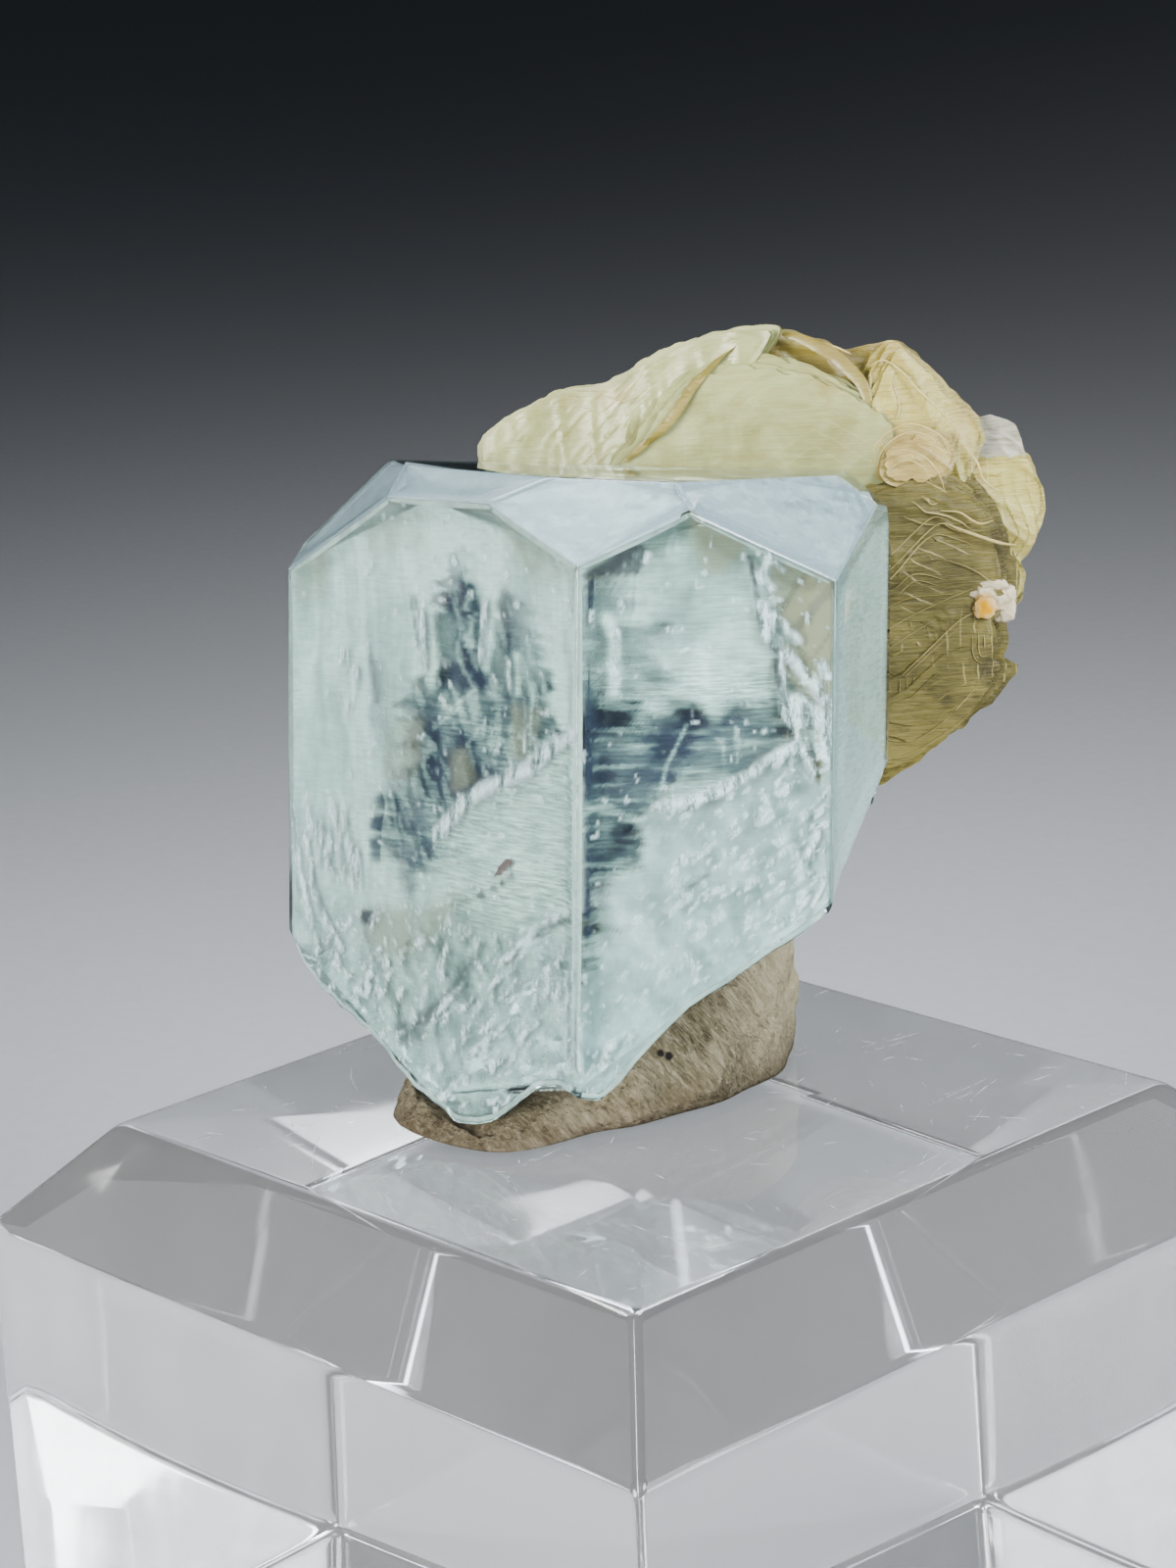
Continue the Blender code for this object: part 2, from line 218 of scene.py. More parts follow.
# %% [markdown]
# ## Tools for materials
# A shader is a set of nodes. Two short helpers keep their making readable:
# one adds a node and fills its sockets with numbers or with other nodes'
# outputs, the other makes a node group with named sockets.


# %% Node helpers
def node(tree, kind, values=None, **settings):
    """Adds a shader node. Settings are its own choices, values its sockets."""
    made = tree.nodes.new("ShaderNode" + kind)
    for key, choice in settings.items():
        setattr(made, key, choice)
    for key, value in (values or {}).items():
        if isinstance(value, bpy.types.NodeSocket):
            tree.links.new(value, made.inputs[key])
        else:
            made.inputs[key].default_value = value
    return made


def tree_of(*values):
    """The node tree of the first of the values that is a socket."""
    return next(value for value in values if isinstance(value, bpy.types.NodeSocket)).id_data


# %% Sums, products and mixes
def math_node(operation, *values, clamp=False):
    """A Math node's output, with its inputs filled in order."""
    inputs = dict(enumerate(values))
    return node(tree_of(*values), "Math", inputs, operation=operation, use_clamp=clamp).outputs[0]


def plus(a, b):
    """The sum of two values."""
    return math_node("ADD", a, b)


def times(a, b, clamp=False):
    """The product of two values, held from 0 to 1 if clamp is set."""
    return math_node("MULTIPLY", a, b, clamp=clamp)


def mixed(factor, a, b):
    """Two colours mixed by a factor."""
    return node(tree_of(factor, a, b), "Mix", {0: factor, 6: a, 7: b}, data_type="RGBA").outputs[2]


def mixed_values(factor, a, b):
    """Two values mixed by a factor."""
    values = {"Factor": factor, "A": a, "B": b}
    return node(tree_of(factor, a, b), "Mix", values, data_type="FLOAT").outputs["Result"]


def spread(value, low, high, to_low=0.0, to_high=1.0):
    """A value stretched from one range to another and held inside it."""
    values = {0: value, 1: low, 2: high, 3: to_low, 4: to_high}
    return node(value.id_data, "MapRange", values).outputs[0]


# %% Patterns and places in a material
def placed(vector, move=(0, 0, 0), turn=(0, 0, 0), scale=(1, 1, 1)):
    """Coordinates that a Mapping node has moved, turned and stretched."""
    values = {"Vector": vector, "Location": move, "Rotation": turn, "Scale": scale}
    return node(vector.id_data, "Mapping", values).outputs[0]


def noise_node(vector, scale, detail=4.0, rough=0.55, twist=0.0):
    """A Noise Texture's value."""
    values = {"Vector": vector, "Scale": scale, "Detail": detail}
    values.update({"Roughness": rough, "Distortion": twist})
    return node(vector.id_data, "TexNoise", values).outputs["Fac"]


def point_value(tree, label):
    """A value that the mesh's points carry as an attribute."""
    return node(tree, "Attribute", attribute_name=label).outputs["Fac"]


def distance_node(vector, point):
    """How far coordinates lie from a point."""
    values = {0: vector, 1: tuple(point)}
    return node(vector.id_data, "VectorMath", values, operation="DISTANCE").outputs["Value"]


# %% Groups and materials
def group(name, inputs, outputs):
    """An empty shader group with its sockets, and its input and output nodes."""
    tree = bpy.data.node_groups.new(name, "ShaderNodeTree")
    kinds = {"vector": "NodeSocketVector", "value": "NodeSocketFloat", "colour": "NodeSocketColor"}
    for label, kind, default in inputs:
        made = tree.interface.new_socket(label, in_out="INPUT", socket_type=kinds[kind])
        made.default_value = default
    for label, kind in outputs:
        tree.interface.new_socket(label, in_out="OUTPUT", socket_type=kinds[kind])
    given = tree.nodes.new("NodeGroupInput").outputs
    wanted = tree.nodes.new("NodeGroupOutput").inputs
    return tree, given, wanted


def new_material(name, **constants):
    """A material with its Principled shader's plain sockets set."""
    mat = bpy.data.materials.new(name)
    mat.use_nodes = True
    tree = mat.node_tree
    shader = tree.nodes["Principled BSDF"]
    for key, value in constants.items():
        shader.inputs[key.replace("_", " ")].default_value = value
    coords = node(tree, "TexCoord").outputs["Object"]
    return mat, tree, shader, placed(coords, scale=(1 / MM,) * 3)


def feed(shader, **sockets):
    """Links node outputs to the Principled shader's sockets."""
    for key, output in sockets.items():
        shader.id_data.links.new(output, shader.inputs[key.replace("_", " ")])


def bump(height, strength, distance_mm):
    """A Bump node's normal for a height map."""
    values = {"Height": height, "Strength": strength, "Distance": distance_mm * MM}
    return node(height.id_data, "Bump", values).outputs[0]


def lamp_window(mat, tint):
    """Clear pieces let lamps shine through: a shadow ray meets a Transparent
    shader, so what stands behind or inside the glass isn't left black."""
    tree = mat.node_tree
    out = tree.nodes["Material Output"]
    shader = tree.nodes["Principled BSDF"]
    path = node(tree, "LightPath")
    clear = node(tree, "BsdfTransparent", {"Color": (*tint, 1.0)})
    values = {0: path.outputs["Is Shadow Ray"], 1: shader.outputs[0], 2: clear.outputs[0]}
    tree.links.new(node(tree, "MixShader", values).outputs[0], out.inputs["Surface"])


def rgb(red, green, blue):
    """A display colour, 0 to 255, as the linear colour that a shader wants."""
    c = np.array([red, green, blue]) / 255.0
    c = np.where(c <= 0.04045, c / 12.92, ((c + 0.055) / 1.055) ** 2.4)
    return (*(float(v) for v in c), 1.0)


# %% [markdown]
# ## Camera, floor and light
# The camera stands a little above the crystal and is rolled by a few degrees.
# Soft boxes close to the piece light it strongly, and their light fades with
# distance, so the pale floor falls off to grey behind.
# A clear crystal shows by contrast: bright edges against a darker ground.

# %% Camera
CAMERA_PLACE = (-1.416, -155.626, 83.902)
CAMERA_DOWN = 16.29
CAMERA_ROLL = -2.97
LENS = 94.5

camera_data = bpy.data.cameras.new("camera")
camera_data.lens = LENS
camera_data.sensor_width = 36.0
camera_data.clip_start = 0.005
camera = bpy.data.objects.new("camera", camera_data)
turned = Matrix.Rotation(math.radians(90 - CAMERA_DOWN), 4, "X")
turned = turned @ Matrix.Rotation(math.radians(CAMERA_ROLL), 4, "Z")
camera.matrix_world = Matrix.Translation(Vector(CAMERA_PLACE) * MM) @ turned
bpy.context.scene.collection.objects.link(camera)
bpy.context.scene.camera = camera

# %% Floor
FLOOR_SIZE = 4.0           # metres
FLOOR_DROP = 0.2           # millimetres below the block, so the two never fight

floor_mat, tree, shader, at = new_material("pale_paper", Roughness=0.85)
grain = noise_node(at, 0.9, 6.0)
feed(shader, Base_Color=mixed(grain, rgb(205, 207, 210), rgb(216, 217, 218)))
feed(shader, Normal=bump(grain, 0.15, 0.1))
floor_mesh = bpy.data.meshes.new("floor")
half = FLOOR_SIZE / 2
floor_mesh.from_pydata(
    [(-half, -half, 0), (half, -half, 0), (half, half, 0), (-half, half, 0)], [], [(0, 1, 2, 3)]
)
floor_mesh.materials.append(floor_mat)
floor = bpy.data.objects.new("floor", floor_mesh)
floor.location.z = -FLOOR_DROP * MM
bpy.context.scene.collection.objects.link(floor)


# %% Soft boxes
AIM = (0.0, 0.0, 38.0)


def soft_box(name, place, size, power, colour, spread_angle):
    """An area lamp at place (mm), turned towards the middle of the crystal."""
    lamp = bpy.data.lights.new(name, "AREA")
    lamp.shape = "RECTANGLE"
    lamp.size, lamp.size_y = size[0] * MM, size[1] * MM
    lamp.energy = power
    lamp.color = colour
    lamp.spread = math.radians(spread_angle)
    obj = bpy.data.objects.new(name, lamp)
    obj.location = Vector(place) * MM
    away = Vector(place) - Vector(AIM)
    obj.rotation_euler = away.to_track_quat("Z", "Y").to_euler()
    bpy.context.scene.collection.objects.link(obj)


soft_box("key_front_left", (-180, -230, 110), (170, 150), 0.17, (1.0, 0.985, 0.96), 50)
soft_box("fill_front_right", (185, -180, 195), (120, 110), 0.10, (0.94, 0.97, 1.0), 60)
soft_box("low_right", (240, -95, 90), (110, 120), 0.045, (0.94, 0.97, 1.0), 70)
soft_box("sky_behind", (-20, 210, 260), (300, 170), 0.05, (0.84, 0.90, 1.0), 40)
soft_box("side_left", (-240, 0, 165), (160, 240), 0.045, (0.90, 0.95, 1.0), 90)
soft_box("side_right", (240, 0, 165), (160, 240), 0.055, (0.92, 0.96, 1.0), 90)
soft_box("high_front", (0, -330, 330), (400, 300), 0.08, (0.86, 0.90, 1.0), 60)

# %% World, view and light paths
world = bpy.data.worlds.new("studio")
bpy.context.scene.world = world
world.use_nodes = True
world.node_tree.nodes["Background"].inputs[0].default_value = (0.72, 0.80, 0.92, 1.0)
world.node_tree.nodes["Background"].inputs[1].default_value = 0.035

view = bpy.context.scene.view_settings
view.view_transform = "AgX"
view.look = "AgX - Medium High Contrast"
view.exposure = 0.0
cycles = bpy.context.scene.cycles
cycles.use_denoising = True
cycles.use_adaptive_sampling = True
cycles.adaptive_threshold = 0.05
cycles.caustics_reflective = False
cycles.caustics_refractive = False
cycles.max_bounces = 9
cycles.transmission_bounces = 8
cycles.glossy_bounces = 4
cycles.diffuse_bounces = 1
cycles.transparent_max_bounces = 20
cycles.use_light_tree = False
print("camera and seven soft boxes are set")

# %% [markdown]
# ## The acrylic block
# A square of clear acrylic with a sloped rim. Its edges were flame-polished,
# so they are slightly round and catch white lines of light. One way is a box
# with a Bevel modifier. Here the surface is written out instead: a profile of
# heights and reaches, carried round a square whose corners are small arcs.

# %% Block surface
BLOCK_SIDE = 38.0
BLOCK_HEIGHT = 25.0
BEVEL_IN = 4.0
BEVEL_DOWN = 4.2
BLOCK_TURN = 43.0
EDGE_RADIUS = 0.45


def rounded_square(half_side, radius, per_corner=7, per_side=14):
    """Points round a square: each corner is an arc of its own radius, and the
    sides between them are evenly divided."""
    arc = np.linspace(0, math.pi / 2, per_corner)
    corner = half_side - radius
    points = []
    for k in range(4):
        turn = k * math.pi / 2
        x = corner + radius * np.cos(arc)
        y = corner + radius * np.sin(arc)
        run = np.linspace(1, -1, per_side + 2)[1:-1]
        x = np.concatenate([x, run * corner])
        y = np.concatenate([y, np.full(per_side, half_side)])
        points.append(turned_flat(x, y, turn))
    return np.vstack(points)


def rounded_profile(corners, radius, steps=5):
    """A polyline whose inner corners are replaced by short curves: each point
    is the blend (1-t)^2 a + 2t(1-t) b + t^2 c of the corner b and the points
    a and c on its two sides."""
    corners = np.array(corners, float)
    out = [corners[:1]]
    t = np.linspace(0, 1, steps)[:, None]
    for before, here, after in zip(corners, corners[1:], corners[2:]):
        a = here + (before - here) * min(0.45, radius / np.linalg.norm(before - here))
        c = here + (after - here) * min(0.45, radius / np.linalg.norm(after - here))
        out.append((1 - t) ** 2 * a + 2 * t * (1 - t) * here + t ** 2 * c)
    out.append(corners[-1:])
    return np.vstack(out)


# %% The block's skin
def block_skin():
    """The profile, from the middle of the foot to the middle of the top,
    carried round the square and turned with the block."""
    half_side = BLOCK_SIDE / 2
    top = half_side - BEVEL_IN
    corners = [(0.001, 0.0), (half_side - 0.2, 0.0), (half_side, 0.2),
               (half_side, BLOCK_HEIGHT - BEVEL_DOWN), (top, BLOCK_HEIGHT), (0.001, BLOCK_HEIGHT)]
    profile = rounded_profile(corners, EDGE_RADIUS)
    rows = []
    for reach, height in profile[1:-1]:
        ring = rounded_square(reach, min(EDGE_RADIUS, 0.5 * reach))
        ring = turned_flat(ring[:, 0], ring[:, 1], math.radians(BLOCK_TURN))
        rows.append(np.column_stack([ring, np.full(len(ring), height)]))
    return skin(np.array(rows), (0, 0, 0), (0, 0, BLOCK_HEIGHT))


# %% Acrylic material
acrylic, tree, shader, at = new_material(
    "clear_acrylic", Base_Color=rgb(244, 244, 244), Transmission_Weight=0.92, IOR=1.49
)
haze = noise_node(at, 0.25, 3.0)
feed(shader, Roughness=spread(haze, 0.45, 0.75, 0.01, 0.06))
lamp_window(acrylic, (0.68, 0.69, 0.69))

block = add_piece("acrylic_block_polished", [block_skin()], acrylic, 30)
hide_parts("acrylic_block")

# %% [markdown]
# ## The aquamarine
# The crystal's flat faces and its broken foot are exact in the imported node.
# Its copy is finished rather than drawn anew: flat faces are joined, the
# sharp edges get a hair-thin chamfer that glints, and the broken foot is
# subdivided to smooth shell-like hollows with fine ripples.

# %% The crystal's own frame
CRYSTAL_FOOT = (-2.55, -8.0, 28.3)
LEAN_BACK = 8.7
LEAN_RIGHT = 3.3
crystal_turn = Matrix.Rotation(math.radians(LEAN_RIGHT), 3, "Y")
crystal_turn = np.array(crystal_turn @ Matrix.Rotation(math.radians(-LEAN_BACK), 3, "X"))


def from_crystal(points):
    """Points in the crystal's frame (Z along its axis) as points of the part."""
    return np.asarray(points, float) @ crystal_turn.T + CRYSTAL_FOOT


def heading(direction):
    """A direction in the crystal's frame as a direction of the part."""
    return from_crystal(direction) - from_crystal((0, 0, 0))


def along_crystal(at):
    """Shader coordinates turned so that Z runs along the crystal's axis."""
    return placed(at, turn=(math.radians(LEAN_BACK), math.radians(-LEAN_RIGHT), 0))


# %% Crystal surface
FLAT_FACE = 1.0            # square millimetres: a bigger face is a crystal face
LONGEST_TORN = 2.2         # millimetres: a longer edge isn't part of the break
CHAMFER = 0.08
FLAT_ANGLE = math.radians(0.25)
SHARP_ANGLE = math.radians(8)


def finished_crystal():
    """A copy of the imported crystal: doubles merged, flat triangles joined to
    faces, edges between crystal faces chamfered and the break subdivided."""
    bm = bmesh.new()
    bm.from_mesh(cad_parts["aquamarine_crystal"].data)
    bmesh.ops.scale(bm, vec=(1 / MM,) * 3, verts=bm.verts)
    bmesh.ops.remove_doubles(bm, verts=bm.verts, dist=1e-4)
    bmesh.ops.dissolve_limit(
        bm, angle_limit=FLAT_ANGLE, verts=bm.verts, edges=bm.edges, use_dissolve_boundaries=False
    )
    bm.normal_update()
    sharp = []
    for edge in bm.edges:
        flats = [f for f in edge.link_faces if f.calc_area() > FLAT_FACE]
        if len(flats) == 2 and edge.calc_face_angle() > SHARP_ANGLE:
            sharp.append(edge)
    bmesh.ops.bevel(
        bm, geom=sharp, offset=CHAMFER, segments=2, profile=0.5, affect="EDGES", clamp_overlap=False
    )
    bm.normal_update()
    crease = bm.edges.layers.float.new("crease_edge")
    torn = bm.verts.layers.float.new("torn")
    broken = set()
    for face in bm.faces:
        lengths = [edge.calc_length() for edge in face.edges]
        small = face.calc_area() < FLAT_FACE and max(lengths) < LONGEST_TORN
        if small and (min(lengths) > 2.5 * CHAMFER or len(face.verts) == 3):
            broken.add(face)
    for edge in bm.edges:
        inside = sum(f in broken for f in edge.link_faces)
        edge[crease] = 0.0 if inside == 2 else 1.0
    for vert in bm.verts:
        vert[torn] = 1.0 if all(f in broken for f in vert.link_faces) else 0.0
    print("crystal faces before subdivision:", len(bm.faces), "of them broken:", len(broken))
    return subdivided(bm, "crystal_base", 2)


crystal_mesh = finished_crystal()
place, normal = mesh_arrays(crystal_mesh)
torn = np.empty(len(place))
crystal_mesh.attributes["torn"].data.foreach_get("value", torn)

# %% [markdown]
# Glass-like crystals break in shells: ripples round the point where the crack
# began, with small sharp steps. Rings around two such points, faded out away
# from the break, are added along the surface's own normals.

# %% Ripples on the break
RIPPLE_CENTRES = ((-11.0, 10.0, 2.0), (9.0, 6.0, 6.0))
ripple = np.zeros(len(place))
for centre in RIPPLE_CENTRES:
    reach = np.linalg.norm(place - from_crystal(centre), axis=1)
    ripple += 0.05 * np.sin(3.4 * reach + 2.0 * noise(place * 0.3, 5)) * np.exp(-reach / 14)
ripple += 0.10 * layered(place * 0.7, 11) + 0.03 * layered(place * 2.6, 12)
place = place + normal * (ripple * torn)[:, None]
crystal_mesh.vertices.foreach_set("co", (place * MM).ravel())
print(f"break ripples reach {np.abs(ripple * torn).max():.2f} mm")

# %% Aquamarine material
aquamarine, tree, shader, at = new_material(
    "aquamarine", Base_Color=rgb(236, 250, 246), Transmission_Weight=0.985, IOR=1.577
)
along_axis = along_crystal(at)
steps = noise_node(placed(along_axis, scale=(0.12, 0.12, 3.2)), 1.0, 5.0)
tubes = noise_node(placed(along_axis, scale=(3.0, 3.0, 0.12)), 1.0, 3.0)
broken = point_value(tree, "torn")
hackle = noise_node(at, 3.2, 6.0, 0.65)
relief = plus(times(steps, 0.35), times(tubes, 0.30))
relief = plus(relief, times(hackle, times(broken, 1.5)))
feed(shader, Normal=bump(relief, 0.35, 0.03))
feed(shader, Roughness=spread(broken, 0.0, 1.0, 0.012, 0.22))
absorb = node(tree, "VolumeAbsorption", {"Color": (0.25, 0.72, 0.68, 1.0), "Density": 6.0})
tree.links.new(absorb.outputs[0], tree.nodes["Material Output"].inputs["Volume"])
lamp_window(aquamarine, (0.93, 0.96, 0.96))

crystal = finish_piece("aquamarine_finished", crystal_mesh, aquamarine, 25)
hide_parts("aquamarine_crystal")

# %% [markdown]
# ## The putty
# Mineral putty is pressed down by hand: it keeps drag marks, short creases
# and fibres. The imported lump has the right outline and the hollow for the
# crystal's foot, so a copy of it is subdivided and its skin is wrinkled.
# Long narrow noise, stretched along the way the thumb moved, gives creases.


# %% Putty surface
CREASE_ANGLE = math.radians(55)
DRAG_TURN = -1.05          # the thumb was drawn steeply down
DRAG_AXES = np.array([[0.46, 0.05, -0.886], [-0.11, 0.99, 0.0], [0.877, 0.10, 0.461]])
# middle of each dark grain in the putty, and its radius
DARK_GRAINS = (((0.90, -2.04, 27.75), 0.19), ((1.25, -2.02, 27.62), 0.23))


def finer_putty():
    """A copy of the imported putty: doubles merged, edges sharper than the
    crease angle kept sharp, and every face subdivided."""
    bm = bmesh.new()
    bm.from_mesh(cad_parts["mounting_putty"].data)
    bmesh.ops.remove_doubles(bm, verts=bm.verts, dist=1e-7)
    crease = bm.edges.layers.float.new("crease_edge")
    bm.normal_update()
    for edge in bm.edges:
        edge[crease] = 1.0 if edge.calc_face_angle(0.0) > CREASE_ANGLE else 0.0
    return subdivided(bm, "putty_base", 2)


putty_mesh = finer_putty()
place, normal = mesh_arrays(putty_mesh)
place = place / MM
swept = (place @ DRAG_AXES.T) * (0.55, 2.6, 2.6)
creases = -np.abs(layered(swept, 31, 3)) * 0.24
lumps = 0.10 * layered(place * 0.9, 41, 3)
pits = -0.12 * np.clip(layered(place * 2.2, 51, 2) - 0.62, 0, 1)
push = np.clip(creases + lumps + pits, -0.35, 0.10)
resting = np.clip((place[:, 2] - BLOCK_HEIGHT - 0.35) / 0.8, 0, 1)
place = place + normal * (push * resting)[:, None]
putty_mesh.vertices.foreach_set("co", (place * MM).ravel())

# %% Putty material
putty_mat, tree, shader, at = new_material("mineral_putty", Roughness=0.95, IOR=1.35)
fibre_way = placed(placed(at, turn=(0.0, DRAG_TURN, 0.0)), scale=(0.5, 3.0, 3.0))
fibre = noise_node(fibre_way, 1.3, 6.0, 0.72)
hair_way = placed(placed(at, turn=(0.0, DRAG_TURN + 0.25, 0.15)), scale=(0.9, 6.0, 6.0))
hair = noise_node(hair_way, 1.2, 3.0, 0.7)
cloud = noise_node(at, 0.40, 4.0)
base = mixed(spread(cloud, 0.35, 0.65), rgb(130, 122, 98), rgb(160, 152, 128))
base = mixed(spread(fibre, 0.52, 0.66, 0.0, 0.9), base, rgb(192, 184, 160))
base = mixed(spread(fibre, 0.47, 0.36, 0.0, 0.8), base, rgb(82, 76, 60))
base = mixed(spread(hair, 0.56, 0.70, 0.0, 0.7), base, rgb(196, 190, 166))
base = mixed(spread(hair, 0.44, 0.34, 0.0, 0.6), base, rgb(92, 84, 68))
for middle, radius in DARK_GRAINS:
    base = mixed(spread(distance_node(at, middle), radius, 0.6 * radius, 0.0, 0.92), base, rgb(30, 28, 36))
split = node(tree, "SeparateXYZ", {0: at}).outputs
# Painted light: towards +x, the right side, the colour is mixed towards a pale one, as if lit more.
base = mixed(spread(split["X"], 3.6, 6.6, 0.0, 0.55), base, rgb(214, 204, 174))
# Painted shade: darker towards the bottom, where the putty meets the block.
low = spread(split["Z"], 25.3, 27.2, 0.62, 0.0)
base = mixed(low, base, rgb(74, 60, 46))
feed(shader, Base_Color=base)
feed(shader, Normal=bump(plus(fibre, hair), 1.0, 0.22))
putty = finish_piece("putty_wrinkled", putty_mesh, putty_mat, 60)
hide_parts("mounting_putty")

# %% [markdown]
# ## The mica books
# Mica splits in leaves as thin as paper, and a book is a stack of them. Each
# leaf here is one closed skin: a grid of rings that runs from a pole on its
# front out to the ragged rim and back to a pole behind. All leaves of a book
# share one gentle warp, so they never cut each other, and each has its own
# tears and its own distance in from the outline, which makes the ledges.

# %% Leaves
LEAF_PITCH = 0.17          # millimetres from leaf to leaf
LEAF_FILL = 0.80           # share of the pitch that is mica
LEAF_WAVE = 0.20           # how far a book's leaves bulge
RIM_POINTS = 150           # points round the rim of a book's leaf
RING_REACH = np.array([0.30, 0.60, 0.80, 0.92, 0.98, 1.0])
FINE_REACH = np.append(np.linspace(0.02, 0.97, 52), (0.985, 1.0))


def evenly(loop, count):
    """A closed loop walked round in count equal steps."""
    closed = np.vstack([loop, loop[:1]])
    run = np.concatenate([[0], np.cumsum(np.linalg.norm(np.diff(closed, axis=0), axis=1))])
    at = np.arange(count) * run[-1] / count
    return np.stack([np.interp(at, run, closed[:, k]) for k in (0, 1)], axis=1)


def leaf(rim, hub, near, far, warp, reach=RING_REACH):
    """One leaf: x, z rings shrink from the rim to the hub, first on the near
    face and then on the far one, and warp(x, z) moves both faces together."""
    spokes = rim - hub
    front = hub + spokes[None] * reach[:, None, None]
    back = front[::-1]
    rings = np.concatenate([front, back])
    depth = np.concatenate([np.full(len(front), near), np.full(len(back), far)])
    y = depth[:, None] + warp(rings[..., 0], rings[..., 1])
    grid = np.stack([rings[..., 0], y, rings[..., 1]], axis=-1)
    pole = warp(np.array([hub[0]]), np.array([hub[1]]))[0]
    return skin(grid, (hub[0], near + pole, hub[1]), (hub[0], far + pole, hub[1]))


def book_place(outline, front, turn, tilt):
    """A function that takes points of a book, x and z in the crystal's frame
    and y from the book's front, to the part: tilted about the book's middle,
    turned about the crystal's axis, and set at its depth."""
    hub = np.append(np.array(outline, float).mean(axis=0), 0.0)[[0, 2, 1]]
    about_axis = Matrix.Rotation(math.radians(turn), 3, "Z")
    both = np.array(about_axis @ Matrix.Rotation(math.radians(tilt), 3, "X"))
    return lambda p: from_crystal((np.asarray(p, float) - hub) @ both.T + hub + (0, front, 0))


# %% Waves, creases and terraces of a leaf
def book_warp(seed):
    """How far a book's leaves bulge at x, z: broad noise and a finer ripple."""
    def warp(x, z):
        """The bulge at x, z."""
        p = np.stack([x * 0.16, z * 0.16, np.full_like(x, seed * 3.7)], axis=-1)
        return LEAF_WAVE * noise(p, 61) + 0.25 * LEAF_WAVE * noise(p * 3.1, 62)
    return warp


def creased(x, z, lean, across, along, height, seed):
    """Creases of a bent sheet, as a lift towards the viewer: noise stretched
    along one direction, folded at zero so that its zero lines are ridges."""
    c, s = math.cos(lean), math.sin(lean)
    p = np.stack([(c * x + s * z) * across, (c * z - s * x) * along, np.full_like(x, seed)], axis=-1)
    ridge = 1 - np.abs(noise(p, seed)) - 0.5 * np.abs(noise(p * 2.1, seed + 1))
    return -height * np.clip(ridge, 0, 1) ** 3


def terraces(x, z, centre, pitch, height, seed):
    """Growth steps: sharp edges round a six-sided cone |p.n|, each followed
    by a slow fall, so the steps never add up."""
    dx, dz = x - centre[0], z - centre[1]
    ways = np.radians((20, 80, 140))
    cone = np.max([np.abs(dx * math.cos(a) + dz * math.sin(a)) for a in ways], axis=0)
    wobble = noise(np.stack([x * 0.5, z * 0.5, np.full_like(x, seed)], axis=-1), seed)
    phase = (cone / pitch + 0.6 * wobble) % 1.0
    broad = np.stack([x * 0.35, z * 0.35, np.full_like(x, seed + 9)], axis=-1)
    shown = np.clip(1.6 * noise(broad, seed) + 0.5, 0, 1)
    return -height * (1 - phase) ** 2 * shown


# %% A whole book
def book(outline, front, thickness, turn, tilt, ledges, seed, face):
    """The leaves of one book, front to back. ledges gives how far in the rim
    lies at even steps through the book; each leaf adds its own tears. The
    two front leaves have fine grids, to which face(x, z) adds the relief."""
    place = book_place(outline, front, turn, tilt)
    base = evenly(smooth_loop(outline, 8), RIM_POINTS)
    hub = base.mean(axis=0)
    out = (base - hub) / np.linalg.norm(base - hub, axis=1)[:, None]
    leaves = max(3, int(round(thickness / LEAF_PITCH)))
    at = np.linspace(0, 1, leaves)
    inset = np.interp(at, np.linspace(0, 1, len(ledges)), ledges)
    rng = np.random.default_rng(seed)
    inset = np.clip(inset + rng.uniform(-0.16, 0.16, leaves), 0.0, None)

    warp = book_warp(seed)
    skins = []
    for k in range(leaves):
        p = np.stack([base[:, 0], base[:, 1], np.full(RIM_POINTS, 1.7 * k)], axis=-1)
        tears = 0.14 * noise(p * 0.9, seed) + 0.10 * noise(p * 2.7, seed + 1)
        tears = tears - 0.30 * np.clip(noise(p * 1.6, seed + 2) - 0.40, 0, 1)
        rim = base + out * (tears - inset[k] - 0.04)[:, None]
        near = k * thickness / leaves
        far = near + LEAF_FILL * thickness / leaves
        if k < 2:
            share = 1.0 if k == 0 else 0.5
            made = leaf(rim, hub, near, far, lambda x, z: warp(x, z) + share * face(x, z), FINE_REACH)
        else:
            made = leaf(rim, hub, near, far, warp)
        skins.append((place(made[0]), made[1], made[2]))
    return skins


# %% Outlines of the books
# x and z in the crystal's frame, in millimetres, clockwise from the left.
CENTRE_BOOK = [
    (1.2, 22.6), (2.6, 24.8), (3.6, 26.3), (4.9, 27.4), (6.8, 27.9), (9.4, 27.6),
    (12.2, 26.2), (13.4, 25.0), (13.2, 22.0), (12.8, 17.0), (11.4, 12.2), (8.0, 12.6), (2.4, 18.0),
]
LEFT_LOBE = [
    (-4.2, 23.6), (-4.0, 24.5), (-3.1, 25.2), (-2.1, 25.8), (-0.6, 26.5), (0.7, 26.6),
    (2.0, 27.2), (2.9, 27.8), (4.3, 28.4), (6.4, 29.0), (8.0, 29.2), (8.5, 28.9),
    (7.4, 27.0), (6.4, 24.0), (4.6, 20.5), (0.0, 19.3), (-3.4, 21.3),
]
TOP_BAND = [
    (3.0, 26.6), (4.6, 28.1), (6.8, 28.6), (8.6, 28.9), (9.6, 28.7), (10.5, 28.4),
    (11.2, 28.1), (12.0, 28.3), (13.2, 28.5), (13.8, 28.2), (14.5, 27.3), (14.8, 25.0),
    (12.0, 22.0), (6.0, 22.0),
]
RIGHT_FOLD = [
    (11.6, 25.4), (12.2, 27.5), (13.2, 28.6), (14.5, 27.8), (15.6, 26.9), (16.5, 26.0),
    (17.1, 25.3), (17.2, 24.0), (15.4, 21.0), (12.6, 21.4),
]
